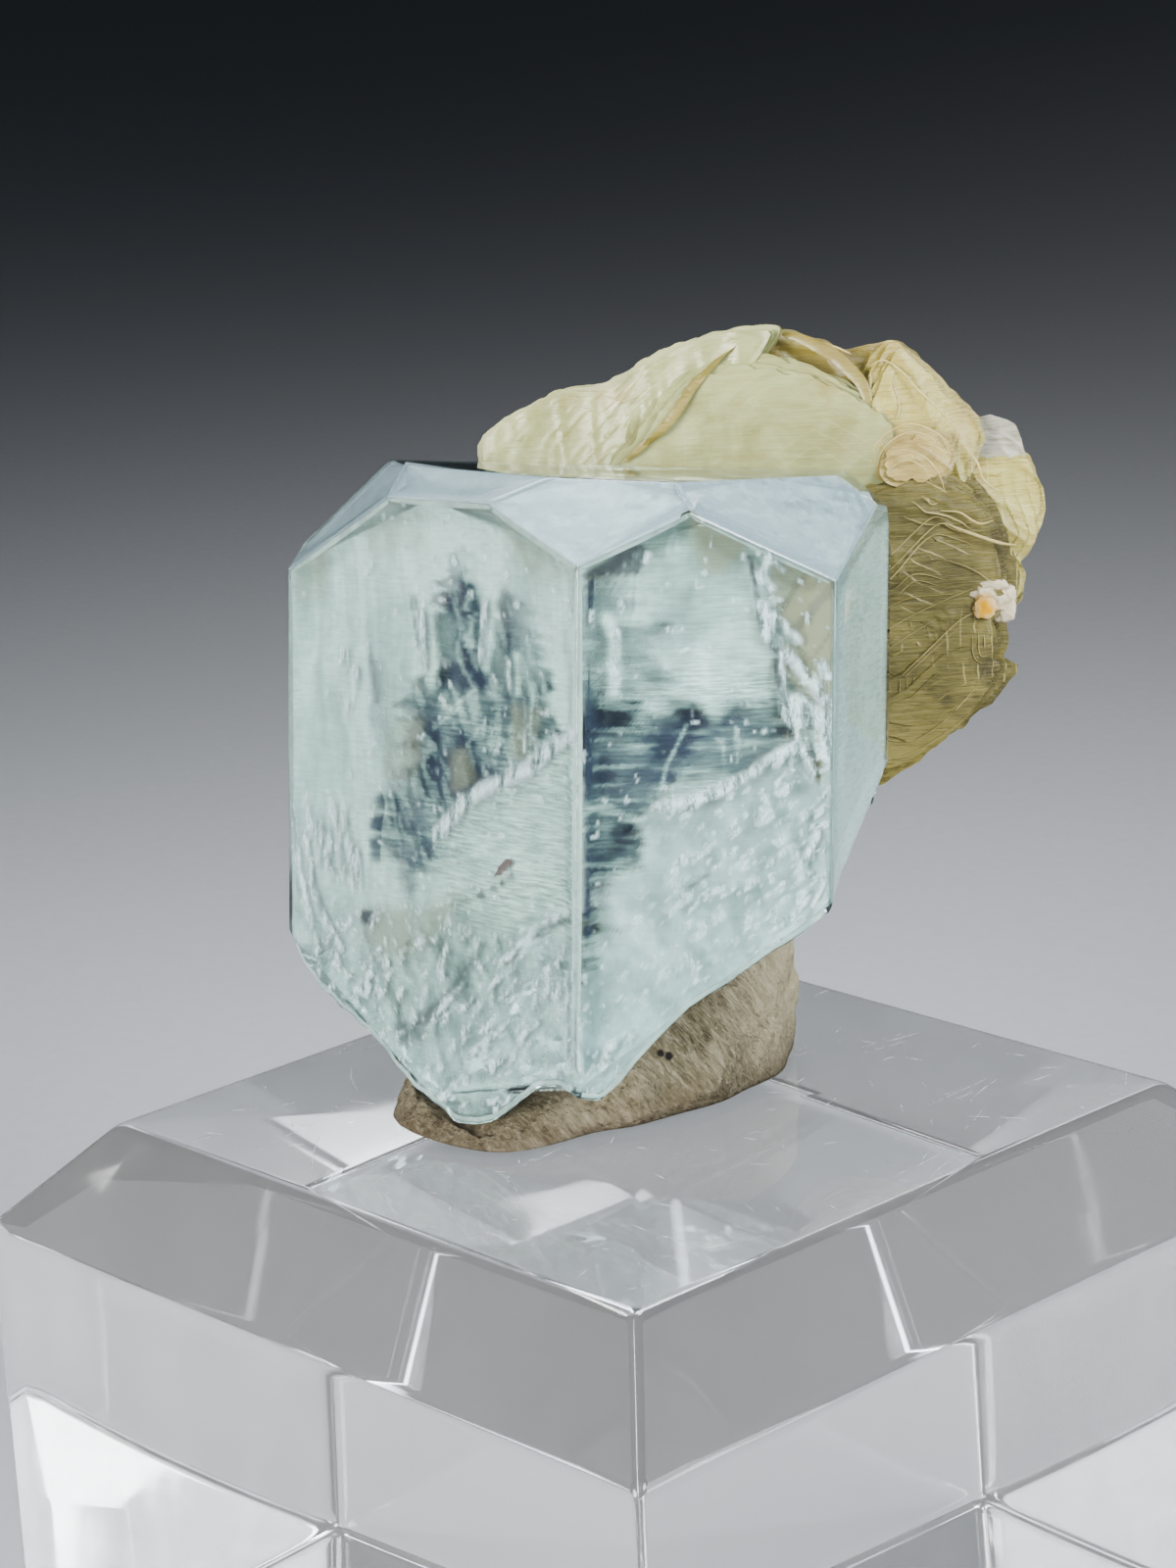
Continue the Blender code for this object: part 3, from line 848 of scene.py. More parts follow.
CLEAR_FLAKE = [
    (15.2, 24.2), (16.7, 25.3), (17.6, 25.4), (18.4, 25.0), (18.8, 24.3), (18.9, 23.6),
    (18.6, 22.6), (17.6, 21.6), (15.6, 22.0),
]
OUTER_FAN = [
    (15.6, 23.2), (18.6, 23.9), (19.4, 23.4), (19.8, 22.5), (19.9, 21.5), (19.7, 20.4),
    (19.3, 19.6), (19.0, 19.1), (19.2, 18.5), (18.7, 17.4), (16.0, 16.5), (14.6, 19.6),
]
OLIVE_BOOK = [
    (9.6, 22.2), (13.4, 24.1), (15.8, 24.0), (17.9, 22.0), (18.9, 19.4), (18.9, 17.6),
    (18.4, 17.0), (18.5, 15.9), (18.3, 15.1), (18.9, 14.8), (18.5, 14.1), (18.0, 13.3),
    (17.2, 12.7), (16.3, 11.9), (14.8, 10.7), (13.2, 9.7), (11.2, 9.3), (9.2, 11.4), (8.6, 16.5),
]
ROSETTE = [
    (12.2, 23.1), (12.4, 24.1), (13.1, 24.9), (14.2, 25.2), (15.3, 24.9), (15.9, 24.0),
    (15.6, 23.0), (14.2, 22.4), (12.9, 22.4),
]


# %% Mica materials
def growth_line_group():
    """Mica grows in six-sided steps, so fine lines meet at 120 degrees. The
    height of the six-sided cone over a point is the largest of its three
    distances |p.n|; where that passes a whole number of pitches lies a line."""
    tree, given, wanted = group(
        "growth_lines",
        [("Vector", "vector", (0, 0, 0)), ("Pitch", "value", 0.8), ("Width", "value", 0.08)],
        [("Mask", "value")],
    )
    wobble = noise_node(given["Vector"], 0.5, 3.0)
    parts = []
    for angle in (0, 60, 120):
        a = math.radians(angle)
        dot = node(tree, "VectorMath", {0: given["Vector"], 1: (math.cos(a), 0.0, math.sin(a))},
                   operation="DOT_PRODUCT").outputs["Value"]
        parts.append(math_node("ABSOLUTE", dot))
    cone = math_node("MAXIMUM", math_node("MAXIMUM", parts[0], parts[1]), parts[2])
    cone = plus(cone, times(wobble, 0.5))
    phase = math_node("FRACT", math_node("DIVIDE", cone, given["Pitch"]))
    line = spread(phase, 0.0, given["Width"], 1.0, 0.0)
    patch = spread(noise_node(given["Vector"], 0.33, 3.0), 0.50, 0.58)
    tree.links.new(times(line, patch), wanted["Mask"])
    return tree


growth_lines = growth_line_group()


# %% A mica material
def mica_material(name, pale, deep, stain, lines, roughness=0.30, centre=(10, 0, 20), grain=1.0,
                  wrinkles=1.0, alpha=None, foot=None):
    """Pearly mica: a pale colour mottled with a deeper one, a few stains,
    growth lines painted brighter as a highlight, and streaks of fine wrinkles
    in its relief. A foot colour takes over from 1 to 6 mm below the centre."""
    mat, tree, shader, at = new_material(name, IOR=1.58, Coat_Weight=0.25, Coat_Roughness=0.22)
    seat = tuple(-v for v in from_crystal(centre))
    local = placed(at, move=seat)
    cloud = noise_node(at, 0.30, 4.0, 0.62, 0.8)
    fine = placed(at, turn=(0, 0.6, 0), scale=(0.5, 1.0, 3.2))
    fine = noise_node(fine, 1.5 * grain, 4.0, 0.68)
    cross = placed(at, turn=(0, -0.5, 0), scale=(0.4, 1.0, 4.5))
    cross = noise_node(cross, 1.8 * grain, 3.0, 0.6)
    base = mixed(spread(cloud, 0.34, 0.66), deep, pale)
    if foot:
        height = node(tree, "SeparateXYZ", {0: local}).outputs["Z"]
        base = mixed(spread(height, -6.0, -1.0, 0.85, 0.0), base, foot)
    base = mixed(spread(noise_node(at, 0.20, 4.0, 0.65), 0.54, 0.68), base, stain)
    base = mixed(spread(fine, 0.36, 0.50, 0.5 * wrinkles, 0.0), base, stain)
    base = mixed(spread(cross, 0.52, 0.72, 0.0, 0.6 * wrinkles), base, pale)
    # Painted highlight: growth lines are mixed towards the pale colour made 1.7 times brighter.
    painted_glint = tuple(min(1.0, v * 1.7) for v in pale[:3]) + (1.0,)
    values = {"Vector": local, "Pitch": 0.62, "Width": 0.12}
    mask = node(tree, "Group", values, node_tree=growth_lines).outputs["Mask"]
    mask = times(mask, lines)
    base = mixed(mask, base, painted_glint)
    relief = plus(plus(times(fine, 0.8), cross), mask)
    feed(shader, Base_Color=base, Roughness=spread(fine, 0.3, 0.7, roughness, roughness + 0.25))
    feed(shader, Normal=bump(relief, 0.6 * wrinkles, 0.10))
    if alpha:
        feed(shader, Alpha=spread(cloud, 0.35, 0.70, alpha, min(1.0, alpha + 0.3)))
    return mat


# %% Finishes of the books
cream = mica_material(
    "mica_cream", rgb(176, 180, 132), rgb(146, 148, 98), rgb(150, 138, 84), 0.15, wrinkles=0.45)
amber = mica_material(
    "mica_amber", rgb(150, 140, 78), rgb(132, 118, 58), rgb(124, 104, 48), 0.15, wrinkles=0.7)
golden = mica_material(
    "mica_golden", rgb(184, 175, 106), rgb(160, 147, 78), rgb(150, 128, 62), 0.3, wrinkles=0.8)
olive = mica_material(
    "mica_olive", rgb(140, 130, 74), rgb(90, 83, 42), rgb(72, 66, 36), 0.9,
    foot=rgb(176, 163, 92), centre=(13.2, 14.4, 16.0), grain=1.2)
glassy = mica_material(
    "mica_glassy", rgb(206, 204, 190), rgb(180, 176, 150), rgb(160, 154, 130), 0.1,
    roughness=0.18, alpha=0.45)
rosy = mica_material("mica_rosy", rgb(186, 170, 110), rgb(160, 142, 82), rgb(154, 128, 72), 0.2)


# %% Relief of the front leaves
# Each is one book's lift at x, z, added to its front leaf.
def centre_face(x, z):
    """Broad slanting creases, and finer ones across them."""
    return creased(x, z, 0.5, 0.55, 0.18, 0.10, 301) + creased(x, z, -0.9, 1.6, 0.5, 0.05, 302)


def left_face(x, z):
    """Upright creases, and finer ones across them."""
    return creased(x, z, 0.15, 1.1, 0.22, 0.14, 303) + creased(x, z, -0.7, 2.2, 0.6, 0.06, 304)


def band_face(x, z):
    """Nearly level creases, and finer ones."""
    return creased(x, z, 1.3, 1.4, 0.35, 0.14, 305) + creased(x, z, 0.6, 2.6, 0.8, 0.06, 306)


def fold_face(x, z):
    """Deep upright creases where the book is bent, and finer ones."""
    return creased(x + 0.25 * z, z, 0.1, 0.95, 0.16, 0.24, 307) + creased(x, z, -0.4, 2.4, 0.5, 0.07, 308)


def olive_face(x, z):
    """Two sets of growth steps, long creases and fine ones."""
    steps = terraces(x, z, (13.4, 16.0), 0.85, 0.07, 309) + terraces(x, z, (14.6, 12.6), 0.42, 0.045, 310)
    return steps + creased(x, z, -0.65, 0.8, 0.15, 0.12, 311) + creased(x, z, 0.4, 2.4, 0.5, 0.05, 312)


def shell_face(x, z):
    """Creases and small growth steps."""
    return creased(x, z, 1.0, 1.2, 0.4, 0.12, 313) + terraces(x, z, (16.0, 21.0), 0.55, 0.05, 314)


# %% The books in place
BOOKS = [
    ("mica_centre", CENTRE_BOOK, 14.35, 2.6, 0.0, 1.0, (0.5, 0.0, 0.3, 0.0, 0.4), cream, centre_face),
    ("mica_left_lobe", LEFT_LOBE, 15.3, 1.9, -9.0, -3.0, (0.4, 0.2, 0.0, 0.5), cream, left_face),
    ("mica_top_band", TOP_BAND, 16.1, 1.8, 3.0, -6.0, (0.2, 0.0, 0.4), amber, band_face),
    ("mica_right_fold", RIGHT_FOLD, 14.9, 2.0, 11.0, -4.0, (0.5, 0.2, 0.0, 0.3), golden, fold_face),
    ("mica_clear_flake", CLEAR_FLAKE, 16.4, 0.8, 8.0, 2.0, (0.0, 0.2), glassy, shell_face),
    ("mica_outer_fan", OUTER_FAN, 16.2, 1.7, 14.0, 2.0, (0.5, 0.2, 0.0, 0.5), golden, shell_face),
    ("mica_olive_book", OLIVE_BOOK, 14.4, 3.6, 4.0, 3.0, (1.3, 0.9, 0.6, 0.3, 0.0, 0.6), olive, olive_face),
    ("mica_rosette", ROSETTE, 13.9, 1.6, 6.0, -8.0, (0.4, 0.0), rosy, shell_face),
]
for seed, (name, outline, front, thickness, turn, tilt, ledges, finish, relief) in enumerate(BOOKS):
    skins = book(outline, front, thickness, turn, tilt, ledges, 20 + seed, relief)
    piece = add_piece(name, skins, finish, 35)
    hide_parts("mica_cluster")

# %% [markdown]
# ## Steps, curls and folds on the mica
# Where a leaf ends on a book's face it leaves a thin step line, and these
# lines meet at 120 degrees. Small plates laid on the olive book make such
# steps. Curled rims and folds are flat tubes carried along curves. The step
# lines and the bright rims are painted paler than the mica, as a highlight.

# %% Growth steps on the olive book
OLIVE = BOOKS[6]
olive_place = book_place(OLIVE[1], OLIVE[2], OLIVE[4], OLIVE[5])
olive_warp = book_warp(20 + BOOKS.index(OLIVE))


def on_olive(points, lift=0.0):
    """Points x, z on the olive book's front face, lifted off it a little."""
    p = np.asarray(points, float)
    y = olive_warp(p[:, 0], p[:, 1]) - lift
    return olive_place(np.stack([p[:, 0], y, p[:, 1]], axis=1))


PLATES = [
    ([(12.4, 15.2), (12.3, 18.6), (13.2, 19.4), (14.8, 21.0), (16.6, 20.6), (17.4, 20.0),
      (17.3, 18.2), (15.8, 16.9), (13.7, 14.8)], 0.07),
    ([(12.2, 11.6), (12.3, 14.2), (13.7, 14.9), (15.8, 17.0), (16.7, 17.5), (17.3, 16.2),
      (17.3, 14.4), (16.0, 12.6), (14.0, 11.2), (13.0, 10.8)], 0.12),
    ([(12.5, 12.4), (12.6, 13.6), (13.8, 14.2), (15.2, 15.6), (16.2, 16.0), (16.5, 14.8),
      (15.8, 13.2), (14.0, 12.0)], 0.19),
    ([(12.9, 12.9), (13.0, 13.5), (14.0, 13.9), (15.0, 14.9), (15.6, 14.6), (15.2, 13.5), (14.1, 12.7)],
     0.25),
    ([(12.5, 17.2), (12.6, 18.2), (13.3, 18.5), (14.0, 19.0), (15.3, 18.9), (15.4, 17.9), (14.4, 17.0)],
     0.12),
]
skins = []
for outline, lift in PLATES:
    rim = evenly(np.array(outline), 60)
    rim = rim + 0.05 * noise(np.column_stack([rim * 1.8, np.full(60, lift * 40)]), 77)[:, None]
    points, quads, fans = leaf(rim, rim.mean(axis=0), -lift, -lift + 0.055, olive_warp)
    skins.append((olive_place(points), quads, fans))
steps_piece = add_piece("mica_growth_steps", skins, olive, 30)
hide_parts("mica_cluster")

# %% Bright step lines
LINES = [
    ([(12.3, 18.6), (13.2, 19.4), (14.8, 21.0), (15.6, 20.85), (17.4, 20.3)], 0.032),
    ([(12.2, 18.0), (13.1, 18.9), (14.7, 20.6), (16.4, 20.2)], 0.022),
    ([(12.4, 19.2), (13.2, 20.0), (14.6, 21.3), (15.4, 21.2)], 0.018),
    ([(13.2, 18.4), (14.0, 19.0), (15.3, 18.8)], 0.030),
    ([(13.3, 18.1), (14.0, 18.7), (15.0, 18.55)], 0.018),
    ([(13.5, 14.7), (14.6, 15.8), (15.8, 17.0), (16.8, 17.6)], 0.040),
    ([(13.7, 14.7), (14.8, 15.8), (16.0, 16.9)], 0.018),
    ([(13.5, 14.6), (13.5, 13.3)], 0.018), ([(13.8, 14.8), (13.9, 13.6), (14.2, 13.2)], 0.018),
    ([(14.1, 14.9), (14.15, 13.9), (14.5, 13.4)], 0.016),
    ([(14.4, 14.9), (14.4, 14.1), (14.8, 13.6)], 0.018),
    ([(16.7, 16.6), (16.8, 15.7), (17.1, 15.6)], 0.028), ([(16.95, 16.5), (17.0, 15.9)], 0.032),
    ([(16.45, 16.5), (16.55, 15.6), (16.9, 15.3)], 0.018),
    ([(13.8, 22.0), (14.4, 21.6), (14.9, 21.5), (15.6, 21.3), (16.2, 20.9)], 0.045),
    ([(14.2, 22.2), (14.6, 21.9), (14.9, 21.95)], 0.035),
    ([(13.4, 21.4), (14.2, 21.1), (15.0, 21.0)], 0.025),
    ([(12.4, 16.3), (13.6, 17.1), (15.2, 17.9), (16.4, 18.4)], 0.020),
    ([(12.3, 15.4), (13.6, 16.3), (15.0, 17.2)], 0.016),
    ([(15.4, 19.6), (16.4, 19.2), (17.3, 18.6)], 0.020),
    ([(12.5, 12.2), (14.0, 12.0), (15.4, 12.9), (16.6, 14.2)], 0.022),
    ([(12.4, 11.2), (13.8, 11.4), (15.2, 12.2), (16.6, 13.3)], 0.026),
    ([(12.6, 13.4), (14.6, 13.0), (16.0, 14.0)], 0.016),
    ([(12.3, 17.3), (13.8, 18.0), (15.6, 18.2)], 0.014),
]
skins = []
for corners, width in LINES:
    flat = smooth_line(corners, 6)
    flat = flat + 0.03 * noise(np.column_stack([flat * 2.5, np.zeros(len(flat))]), 78)[:, None]
    path = on_olive(flat, 0.16)
    skins.append(tube(path, tapered(len(path), 0.75 * width), tapered(len(path), 0.03), (1, 0, 1), 6))

# Painted highlight: step lines and bright rims get this paler mica colour.
bright = mica_material("mica_edge", rgb(204, 192, 138), rgb(184, 168, 108), rgb(170, 148, 90), 0.0)
step_lines = add_piece("mica_step_lines", skins, bright, 60)
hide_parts("mica_cluster")

# %% Curled rims and folds
FOLD_SIDE = (1, 0.1, 0.6)  # the way a fold is wide
# corners (x, depth, z) in the crystal's frame, half-width, half-height
AMBER_FOLDS = [
    ([(8.2, 15.2, 28.8), (6.6, 14.7, 28.2), (5.1, 14.2, 26.9), (4.1, 13.95, 25.4), (3.0, 13.95, 24.3),
      (2.0, 13.95, 23.5)], 0.20, 0.035),
    ([(8.6, 15.6, 28.75), (9.8, 15.2, 28.3), (11.0, 14.9, 27.55), (11.9, 14.5, 26.5), (12.2, 14.3, 25.2)],
     0.28, 0.05),
]
BRIGHT_FOLDS = [
    ([(7.6, 15.1, 28.6), (6.2, 14.6, 27.9), (4.8, 14.1, 26.4), (3.9, 13.9, 25.0)], 0.043, 0.035),
    ([(12.0, 14.7, 27.4), (12.8, 14.5, 27.7), (14.0, 14.3, 26.6), (15.4, 14.1, 25.2), (15.7, 14.2, 24.6)],
     0.043, 0.035),
    ([(12.1, 14.7, 27.3), (12.2, 14.5, 25.8), (12.0, 14.4, 24.4)], 0.043, 0.035),
    ([(12.9, 14.5, 27.3), (13.3, 14.4, 26.0), (13.2, 14.3, 25.2)], 0.031, 0.028),
    ([(12.2, 13.9, 23.4), (12.3, 13.5, 24.2), (12.9, 13.3, 24.9), (13.9, 13.2, 25.15), (14.9, 13.3, 24.7),
      (15.4, 13.5, 23.9)], 0.050, 0.049),
    ([(12.35, 13.8, 23.3), (12.55, 13.45, 24.0), (13.1, 13.3, 24.6), (13.9, 13.2, 24.85),
      (14.7, 13.3, 24.5), (15.1, 13.5, 23.9)], 0.031, 0.035),
    ([(12.6, 13.6, 23.6), (13.4, 13.3, 24.1), (14.3, 13.2, 23.8), (14.9, 13.3, 23.1), (15.2, 13.6, 22.4)],
     0.043, 0.042),
    ([(12.8, 13.6, 23.2), (13.5, 13.35, 23.7), (14.2, 13.3, 23.4), (14.6, 13.4, 22.8)], 0.031, 0.035),
    ([(14.4, 13.5, 24.4), (15.0, 13.4, 24.1), (15.2, 13.5, 23.6)], 0.037, 0.035),
    ([(15.9, 14.2, 24.3), (16.5, 14.0, 23.6), (16.8, 14.1, 22.9), (17.4, 14.4, 22.4)], 0.062, 0.042),
    ([(15.2, 13.9, 21.1), (16.3, 13.7, 20.7), (17.4, 13.8, 20.3), (18.2, 14.1, 20.2)], 0.074, 0.056),
    ([(15.0, 13.95, 21.6), (15.8, 13.8, 21.5), (16.6, 13.8, 21.1), (17.2, 13.9, 21.2)], 0.050, 0.042),
    ([(9.6, 15.3, 28.5), (10.6, 15.2, 28.2), (11.4, 15.2, 27.9)], 0.074, 0.042),
    ([(-2.6, 14.9, 24.8), (-2.0, 14.9, 25.3), (-1.0, 14.9, 25.9)], 0.025, 0.028),
    ([(0.4, 14.8, 25.0), (1.4, 14.7, 25.7), (2.4, 14.6, 26.6), (2.9, 14.6, 27.2)], 0.031, 0.028),
    ([(1.2, 14.8, 26.2), (2.2, 14.7, 26.0), (3.2, 14.6, 26.6)], 0.025, 0.028),
]
for finish, mat, folds in (("amber", amber, AMBER_FOLDS), ("bright", bright, BRIGHT_FOLDS)):
    skins = []
    for corners, width, height in folds:
        path = smooth_line(corners, 10)
        path = path + 0.05 * np.stack([noise(path * 1.4, 80 + k) for k in range(3)], axis=1)
        path = from_crystal(path)
        count = len(path)
        skins.append(tube(path, tapered(count, width), tapered(count, height), FOLD_SIDE, 10))
    piece = add_piece("mica_folds_" + finish, skins, mat, 60)
    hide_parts("mica_cluster")

# %% [markdown]
# ## A crumb of feldspar
# A small pale crumb has grown on the mica's rim, with an orange iron stain.
# It is a heap of six broken blocks that run into each other. A cube swollen
# by noise gives rounded corners and chipped faces at once.

# %% Feldspar
STAIN_PLACE = (16.95, 13.9, 17.6)
feldspar, tree, shader, at = new_material("feldspar_crumb", Roughness=0.6, IOR=1.52)
near = distance_node(at, from_crystal(STAIN_PLACE))
near = plus(near, times(noise_node(at, 2.2), 1.1))
cloud = noise_node(at, 1.2, 5.0)
base = mixed(cloud, rgb(188, 172, 138), rgb(232, 222, 198))
feed(shader, Base_Color=mixed(spread(near, 0.75, 1.25), rgb(214, 160, 20), base))
feed(shader, Normal=bump(cloud, 0.8, 0.1))


CRUMB_ROWS = 22
CRUMB_COLUMNS = 36


def crumb(centre, radii, seed):
    """A broken block: a direction d is pushed out to d / (sum |d|^3)^(1/3),
    which is nearly a cube, turned by its seed and roughened by noise."""
    up = np.linspace(0.06, math.pi - 0.06, CRUMB_ROWS)[:, None]
    around = np.linspace(0, 2 * math.pi, CRUMB_COLUMNS, endpoint=False)[None]
    ball = np.stack([np.sin(up) * np.cos(around), np.sin(up) * np.sin(around),
                     np.cos(up) * np.ones_like(around)], axis=-1)
    a = 0.9 * seed
    turned = np.stack([ball[..., 0] * math.cos(a) - ball[..., 2] * math.sin(a), ball[..., 1],
                       ball[..., 0] * math.sin(a) + ball[..., 2] * math.cos(a)], axis=-1)
    size = 1.15 / (np.abs(turned) ** 3).sum(axis=-1) ** (1 / 3)
    size = size * (1 + 0.32 * layered(ball * 1.5 + seed, seed, 4))
    grid = np.array(centre) + ball * size[..., None] * np.array(radii)
    poles = [np.array(centre) + np.array((0, 0, 0.9 * s * radii[2])) for s in (1, -1)]
    points, quads, fans = skin(grid, *poles)
    return from_crystal(points), quads, fans


skins = [crumb(*lump) for lump in (
    ((17.30, 14.35, 18.50), (0.50, 0.20, 0.22), 3), ((17.75, 14.55, 18.25), (0.42, 0.22, 0.40), 4),
    ((17.85, 14.65, 17.55), (0.34, 0.22, 0.44), 5), ((16.85, 14.15, 18.15), (0.34, 0.16, 0.24), 6),
    ((16.95, 14.05, 17.62), (0.38, 0.16, 0.36), 7), ((17.40, 14.35, 17.95), (0.44, 0.18, 0.38), 8),
)]
add_piece("feldspar_crumbs", skins, feldspar, 50)

# %% [markdown]
# ## Inside the crystal
# Beryl is seldom clean. Milky veils lie under its faces, with brown stains
# and thin dark cracks over them. Nearest to the faces lie broken walls and
# flecks painted near-white, as glints and reflections of the light. Further
# in lie dark films of painted shade, with one brown stain by the right edge.
# Under the sloped top faces the milk is tinted pale lavender as a painted
# reflection of the sky. A painted face would look flat. So each kind is a
# film, a thin skin at its own depth under a face, which shifts and glints as
# the view changes. Two masks, worked out for each of its points from noise
# and drawn lines, say how much film there is.

# %% Places under a crystal face
def face_frame(azimuth, slope, corner):
    """A crystal face's corner, its level direction to the right, its way
    inwards and its way up. Slope is how far its normal leans down from +Z."""
    a, s = math.radians(azimuth), math.radians(slope)
    outward = np.array([math.sin(a) * math.sin(s), -math.cos(a) * math.sin(s), math.cos(s)])
    right = np.array([math.cos(a), math.sin(a), 0.0])
    return np.array(corner, float), right, -outward, np.cross(outward, right)


FRONT_WIDTH = 10.2
LEFT_FACE = face_frame(-47, 90, (0, 0, 0))
FRONT_FACE = face_frame(13, 90, (0, 0, 0))
RIGHT_FACE = face_frame(73, 90, FRONT_WIDTH * FRONT_FACE[1])
# The sloped faces at the top, each from its lowest corner.
FRONT_SLOPE = face_frame(-17.7, 41.0, (0.0, 0.0, 20.4))
RIGHT_SLOPE = face_frame(47.8, 38.7, (9.9, 2.3, 19.7))
LEFT_TOP = face_frame(-47.6, 25.6, (-3.4, 3.6, 22.5))
LEFT_SLOPE = face_frame(-78.7, 45.0, (-11.6, 12.4, 19.2))


# %% Room under a face
def under(face, points):
    """Points (across, depth, height) under a face as points of the part. Left
    of its corner, across is negative."""
    corner, right, inwards, up = face
    p = np.asarray(points, float)
    return from_crystal(corner + p[..., :1] * right + p[..., 1:2] * inwards + p[..., 2:] * up)


crystal_tree = BVHTree.FromObject(crystal, bpy.context.evaluated_depsgraph_get())


def clear_height(face, across, depth, start, way):
    """How far up (way 1) or down (way -1) a line at one place under a face
    runs inside the crystal, as a height."""
    origin = under(face, (across, depth, start))
    hit = crystal_tree.ray_cast(Vector(origin) * MM, Vector(heading(face[3]) * way))
    return start + way * (hit[3] / MM if hit[0] else 0.0)


# %% One film
FILM_THICKNESS = 0.03
DIP_LENGTH = 1.2           # how far from its rim a film reaches its full depth
RIM_LENGTH = 0.06          # how far from its rim a film is thinner


def film(face, reach, start, depth, relief, drawn, grid, seed, gap):
    """A thin skin under a face, from reach[0] to reach[1] across it, as high
    and low as the crystal is from its start line (across, height). It lies
    close under the face, a gap below it, along its rim and dips to its depth
    further in, following noise. drawn(across, height) gives two masks from 0
    to 1: how much film each point has, and a second one for its material."""
    columns, rows = grid
    across = np.linspace(reach[0], reach[1], columns)
    starts = np.interp(across, *zip(*start))
    low = np.array([clear_height(face, x, gap, h, -1) for x, h in zip(across, starts)]) + gap
    deep = np.array([clear_height(face, x, depth, h, -1) for x, h in zip(across, starts)]) + gap
    high = np.array([clear_height(face, x, gap, h, 1) for x, h in zip(across, starts)]) - gap
    high = np.maximum(high, low + 0.05)
    x = np.broadcast_to(across, (rows, columns))
    z = low + (high - low) * np.linspace(0, 1, rows)[:, None]
    sides = np.minimum(x - reach[0], reach[1] - x)
    dip = np.clip(np.minimum(np.minimum(sides, high - z), z - np.maximum(low, deep)) / DIP_LENGTH, 0, 1)
    rim = np.clip(np.minimum(np.minimum(sides, high - z), z - low) / RIM_LENGTH, 0.35, 1)
    wave = relief * layered(np.stack([x * 0.4, z * 0.4, np.full_like(x, seed)], axis=-1), seed, 3)
    y = np.maximum(gap + (depth - gap + wave) * dip * dip * (3 - 2 * dip), gap)
    front = under(face, np.stack([x, y, z], axis=-1))
    back = under(face, np.stack([x, y + FILM_THICKNESS, z], axis=-1))[:, ::-1]
    rings = np.concatenate([front, back], axis=1)
    middle = columns // 2
    points, quads, fans = skin(rings, rings[0, middle], rings[-1, middle])
    cover, second = drawn(x, z)
    masks = np.stack([np.clip(cover, 0, 1) * rim, np.clip(second + 0 * x, 0, 1)])
    both = np.concatenate([masks, masks[:, :, ::-1]], axis=2).reshape(2, -1)
    return (points, quads, fans), np.hstack([both, np.zeros((2, 2))])


def add_films(name, made, material):
    """Joins films in one piece and keeps their two masks as attributes."""
    piece = add_piece(name, [one[0] for one in made], material, 60)
    masks = np.hstack([one[1] for one in made])
    for label, values in zip(("cover", "second"), masks):
        layer = piece.data.attributes.new(label, "FLOAT", "POINT")
        layer.data.foreach_set("value", values.astype(np.float32))
    return piece


# %% Ways to draw on a film
def step(value, low, high):
    """0 below low, 1 above high and 3t^2 - 2t^3 between."""
    t = np.clip((value - low) / (high - low), 0, 1)
    return t * t * (3 - 2 * t)


def blend(a, b, share):
    """a where share is 0, b where it is 1."""
    return a + (b - a) * share


def grain(x, z, across, along, seed, layers=3):
    """Layered noise from 0 to 1. Across and along are its lines per
    millimetre in the two directions, so unequal ones give streaks."""
    p = np.stack([x * across, z * along, np.full_like(x, 0.37 * seed)], axis=-1)
    return np.clip(0.5 + 0.6 * layered(p, seed, layers), 0, 1)


# %% Lines, strokes and patches
def line_distance(x, z, corners, closed=False):
    """The distance from each point to a polyline."""
    c = np.array(corners, float)
    ends = np.roll(c, -1, axis=0) if closed else c[1:]
    best = np.full(x.shape, 1e9)
    for (ax, az), (bx, bz) in zip(c, ends):
        dx, dz = bx - ax, bz - az
        t = np.clip(((x - ax) * dx + (z - az) * dz) / (dx * dx + dz * dz), 0, 1)
        best = np.minimum(best, np.hypot(x - ax - t * dx, z - az - t * dz))
    return best


def patch(x, z, corners, soft):
    """1 inside a polygon and 0 outside, softened over a width: a point is
    inside if a line from it crosses the sides an odd number of times."""
    c = np.array(corners, float)
    inside = np.zeros(x.shape, bool)
    for (ax, az), (bx, bz) in zip(c, np.roll(c, -1, axis=0)):
        if az != bz:
            inside ^= ((az > z) != (bz > z)) & (x < (bx - ax) * (z - az) / (bz - az) + ax)
    signed = np.where(inside, 1, -1) * line_distance(x, z, corners, True)
    return step(signed, -soft / 2, soft / 2)


def stroke(x, z, corners, width):
    """A soft line: 1 on it, and less with the square of the distance."""
    return np.exp(-(line_distance(x, z, corners) / width) ** 2)


def strokes(x, z, listed):
    """The sum of soft lines, each (corners, width, strength)."""
    return sum(much * stroke(x, z, corners, width) for corners, width, much in listed)


def patches(x, z, listed):
    """The strongest of several soft polygons, each (corners, soft, strength)."""
    return np.maximum.reduce([much * patch(x, z, corners, soft) for corners, soft, much in listed])


def frayed(x, z, seed):
    """Places pushed about by noise, mostly to the sides and level by level,
    so that what is drawn there ends in fine level fingers."""
    aside = 1.1 * (grain(x, z, 0.8, 0.7, seed) - 0.5) + 1.2 * (grain(x, z, 0.35, 3.6, seed + 1) - 0.5)
    return x + aside, z + 1.1 * (grain(x, z, 0.9, 0.9, seed + 2) - 0.5)


